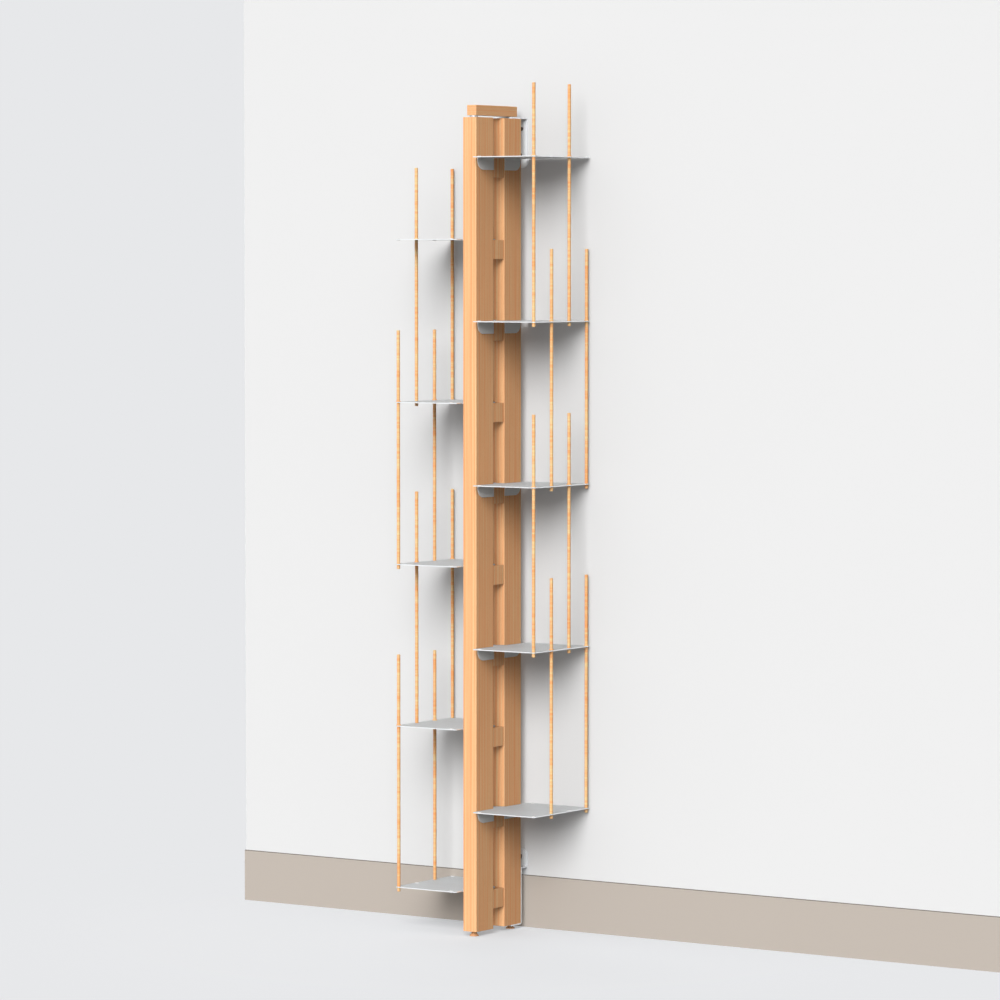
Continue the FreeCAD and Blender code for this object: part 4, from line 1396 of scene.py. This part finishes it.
@dataclass
class Room:
    """A plain wall with its skirting, and a seamless floor. None of it is part of the shelf.

    The floor goes down with the front foot, and the wall and the skirting reach a little below it.
    """

    wall_start: float = -0.823
    wall_end: float = 3.2
    wall_height: float = 3.4
    wall_gap: float = 0.0002
    skirting_height: float = 0.125
    skirting_depth: float = 0.006
    skirting_ease: float = 0.002
    floor_radius: float = 9.0
    below: float = 0.02
    upper_holes: tuple[float, float] = (0.026, 0.087)
    lower_hole: float = 0.019
    wall_finish: RoomFinish = RoomFinish("wall_paint", tone(234, 234, 234), mottle=0.006)
    skirting_finish: RoomFinish = RoomFinish("skirting_paint", tone(195, 185, 175), mottle=0.008)
    floor_finish: FloorFinish = FloorFinish()

    def fixings(self, y: float) -> tuple[Place, ...]:
        """Find where the wall gets painted hole shade, behind the brackets' holes.

        Args:
            y: Where the wall stands.

        Returns:
            The spots of painted hole shade.
        """
        upper, lower = node_top("top_wall_bracket"), node_top("bottom_wall_bracket")
        heights = [upper - down for down in self.upper_holes] + [lower - self.lower_hole]
        return tuple((0.0, y, height) for height in heights)

    def wall(self, y: float) -> Piece:
        """Build the wall as one upright sheet that faces the room.

        Args:
            y: Where it stands.

        Returns:
            The wall.
        """
        shape = bmesh.new()
        bmesh.ops.create_grid(shape, x_segments=8, y_segments=8, size=0.5)
        upright = Matrix.Rotation(math.pi / 2, 3, "X")
        bmesh.ops.rotate(shape, cent=ORIGIN, matrix=upright, verts=shape.verts[:])
        size = (self.wall_end - self.wall_start, 1.0, self.wall_height + self.below)
        bmesh.ops.scale(shape, vec=size, verts=shape.verts[:])
        middle = ((self.wall_start + self.wall_end) / 2, y, (self.wall_height - self.below) / 2)
        bmesh.ops.translate(shape, vec=middle, verts=shape.verts[:])
        # The wall gets painted hole shade at the fixings.
        finish = replace(self.wall_finish, drilled=self.fixings(y))
        return settle(shape, "room_wall", finish.make(), outward=False)

    def skirting(self, y: float) -> Piece:
        """Build the skirting: a board whose upper edge is eased, open at its back.

        Args:
            y: Where its back is.

        Returns:
            The skirting.
        """
        shape = bmesh.new()
        near, high = y - self.skirting_depth, self.skirting_height
        lip = high - self.skirting_ease
        profile = [(near + self.skirting_ease, high), (near, lip), (near, -self.below)]
        start = [shape.verts.new((self.wall_start, back, height)) for back, height in profile]
        edges = [shape.edges.new(pair) for pair in zip(start, start[1:])]
        made = bmesh.ops.extrude_edge_only(shape, edges=edges)["geom"]
        length = (self.wall_end - self.wall_start, 0, 0)
        bmesh.ops.translate(shape, vec=length, verts=of_kind(made, Vert))
        shape.normal_update()
        if sum(face.normal.y for face in shape.faces) > 0:
            bmesh.ops.reverse_faces(shape, faces=shape.faces[:])
        # Its painted shade line starts at the lip.
        finish = replace(self.skirting_finish, lip=lip)
        return settle(shape, "room_skirting", finish.make(), outward=False)

    def floor(self) -> Piece:
        """Build the floor as one wide disc.

        Returns:
            The floor.
        """
        shape = bmesh.new()
        bmesh.ops.create_circle(shape, cap_ends=True, segments=96, radius=self.floor_radius)
        return settle(shape, "room_floor", self.floor_finish.make(), outward=False)

    def build(self) -> list[str]:
        """Build the room.

        Returns:
            Names of its surfaces.
        """
        backs = [Vector(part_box(name)[1]).y for name in ("top_wall_bracket", "bottom_wall_bracket")]
        y = max(backs) + self.wall_gap
        surfaces = [self.wall(y), self.skirting(y), self.floor()]
        for surface in surfaces:
            surface.visible_diffuse = False
            surface.visible_shadow = False
        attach(surfaces[-1], "front_foot_body")
        return [surface.name for surface in surfaces]


@dataclass(frozen=True)
class Lamp:
    """A soft lamp that is very far away.

    Its side is in degrees from straight in front towards the right, and its height in degrees above
    the floor. Width is how wide it looks in radians, and strength is the share of a full white that
    it gives a face turned to it.
    """

    name: str
    side: float
    height: float
    width: float
    strength: float

    def build(self) -> Piece:
        """Hang the lamp.

        Returns:
            The lamp.
        """
        data = bpy.data.lights.new(self.name, "SUN")
        data.energy = self.strength * math.pi
        data.angle = self.width
        lamp = bpy.data.objects.new(self.name, data)
        turn, rise = math.radians(self.side), math.radians(self.height)
        level = math.cos(rise)
        towards = Vector((math.sin(turn) * level, -math.cos(turn) * level, math.sin(rise)))
        lamp.rotation_euler = towards.to_track_quat("Z", "Y").to_euler()
        bpy.context.scene.collection.objects.link(lamp)
        return lamp


@dataclass
class Studio:
    """Camera, lamps and world."""

    camera_place: Place = (6.25780, -9.13657, 1.59364)
    camera_turn: Place = (87.0424, 0.0, 34.3194)
    lens: float = 169.80
    sensor: float = 36.0
    nearest: float = 0.1
    farthest: float = 60.0
    lamps: tuple[Lamp, ...] = (
        Lamp("key_lamp", side=21.5, height=26.0, width=0.60, strength=0.80),
        Lamp("soft_lamp", side=0.0, height=20.0, width=2.60, strength=0.36),
        Lamp("fill_lamp", side=-140.0, height=6.0, width=1.0, strength=0.42),
    )
    ambient: float = 0.065

    def camera(self) -> Piece:
        """Build the camera and make it the scene's.

        Returns:
            The camera.
        """
        data = bpy.data.cameras.new("studio_camera")
        data.sensor_width = self.sensor
        data.lens = self.lens
        data.clip_start = self.nearest
        data.clip_end = self.farthest
        camera = bpy.data.objects.new("studio_camera", data)
        camera.location = self.camera_place
        camera.rotation_euler = tuple(math.radians(angle) for angle in self.camera_turn)
        bpy.context.scene.collection.objects.link(camera)
        bpy.context.scene.camera = camera
        return camera

    def world(self) -> bpy.types.World:
        """Build the world: even light all round, with the backdrop's colour where it is seen.

        Returns:
            The world.
        """
        world = bpy.data.worlds.new("studio_world")
        world.use_nodes = True
        world.node_tree.nodes.clear()
        bench = Bench(world.node_tree)
        even = bench.wire(bench.add("ShaderNodeBackground"), Color=WHITE, Strength=self.ambient)
        backdrop = bench.wire(bench.add("ShaderNodeBackground"), Color=BACKDROP, Strength=1.0)
        seen = bench.rays("Camera", "Glossy", "Transmission")
        mix = bench.line_up("ShaderNodeMixShader", (seen, even.outputs[0], backdrop.outputs[0]))
        bench.wire(bench.add("ShaderNodeOutputWorld"), Surface=mix.outputs[0])
        bpy.context.scene.world = world
        return world

    def build(self) -> list[str]:
        """Set up the studio.

        Returns:
            Names of what it holds.
        """
        bpy.context.scene.view_settings.view_transform = "Standard"
        made = [self.camera(), *(lamp.build() for lamp in self.lamps), self.world()]
        return [item.name for item in made]


def main() -> None:
    """Build every sub-assembly in order and report its pieces."""
    logging.basicConfig(level=logging.INFO, format="%(name)s: %(message)s")
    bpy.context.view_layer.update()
    for assembly in (Studio(), Room(), Column(), ShelfSet(), RodSet(), WallBrackets(), Feet(),
                     ShelfScrews(), HolePlugs(), CapBolts()):
        for name in assembly.build():
            log.info("%s: %s", type(assembly).__name__, name)
    bpy.context.view_layer.update()


if __name__ == "__main__":
    main()
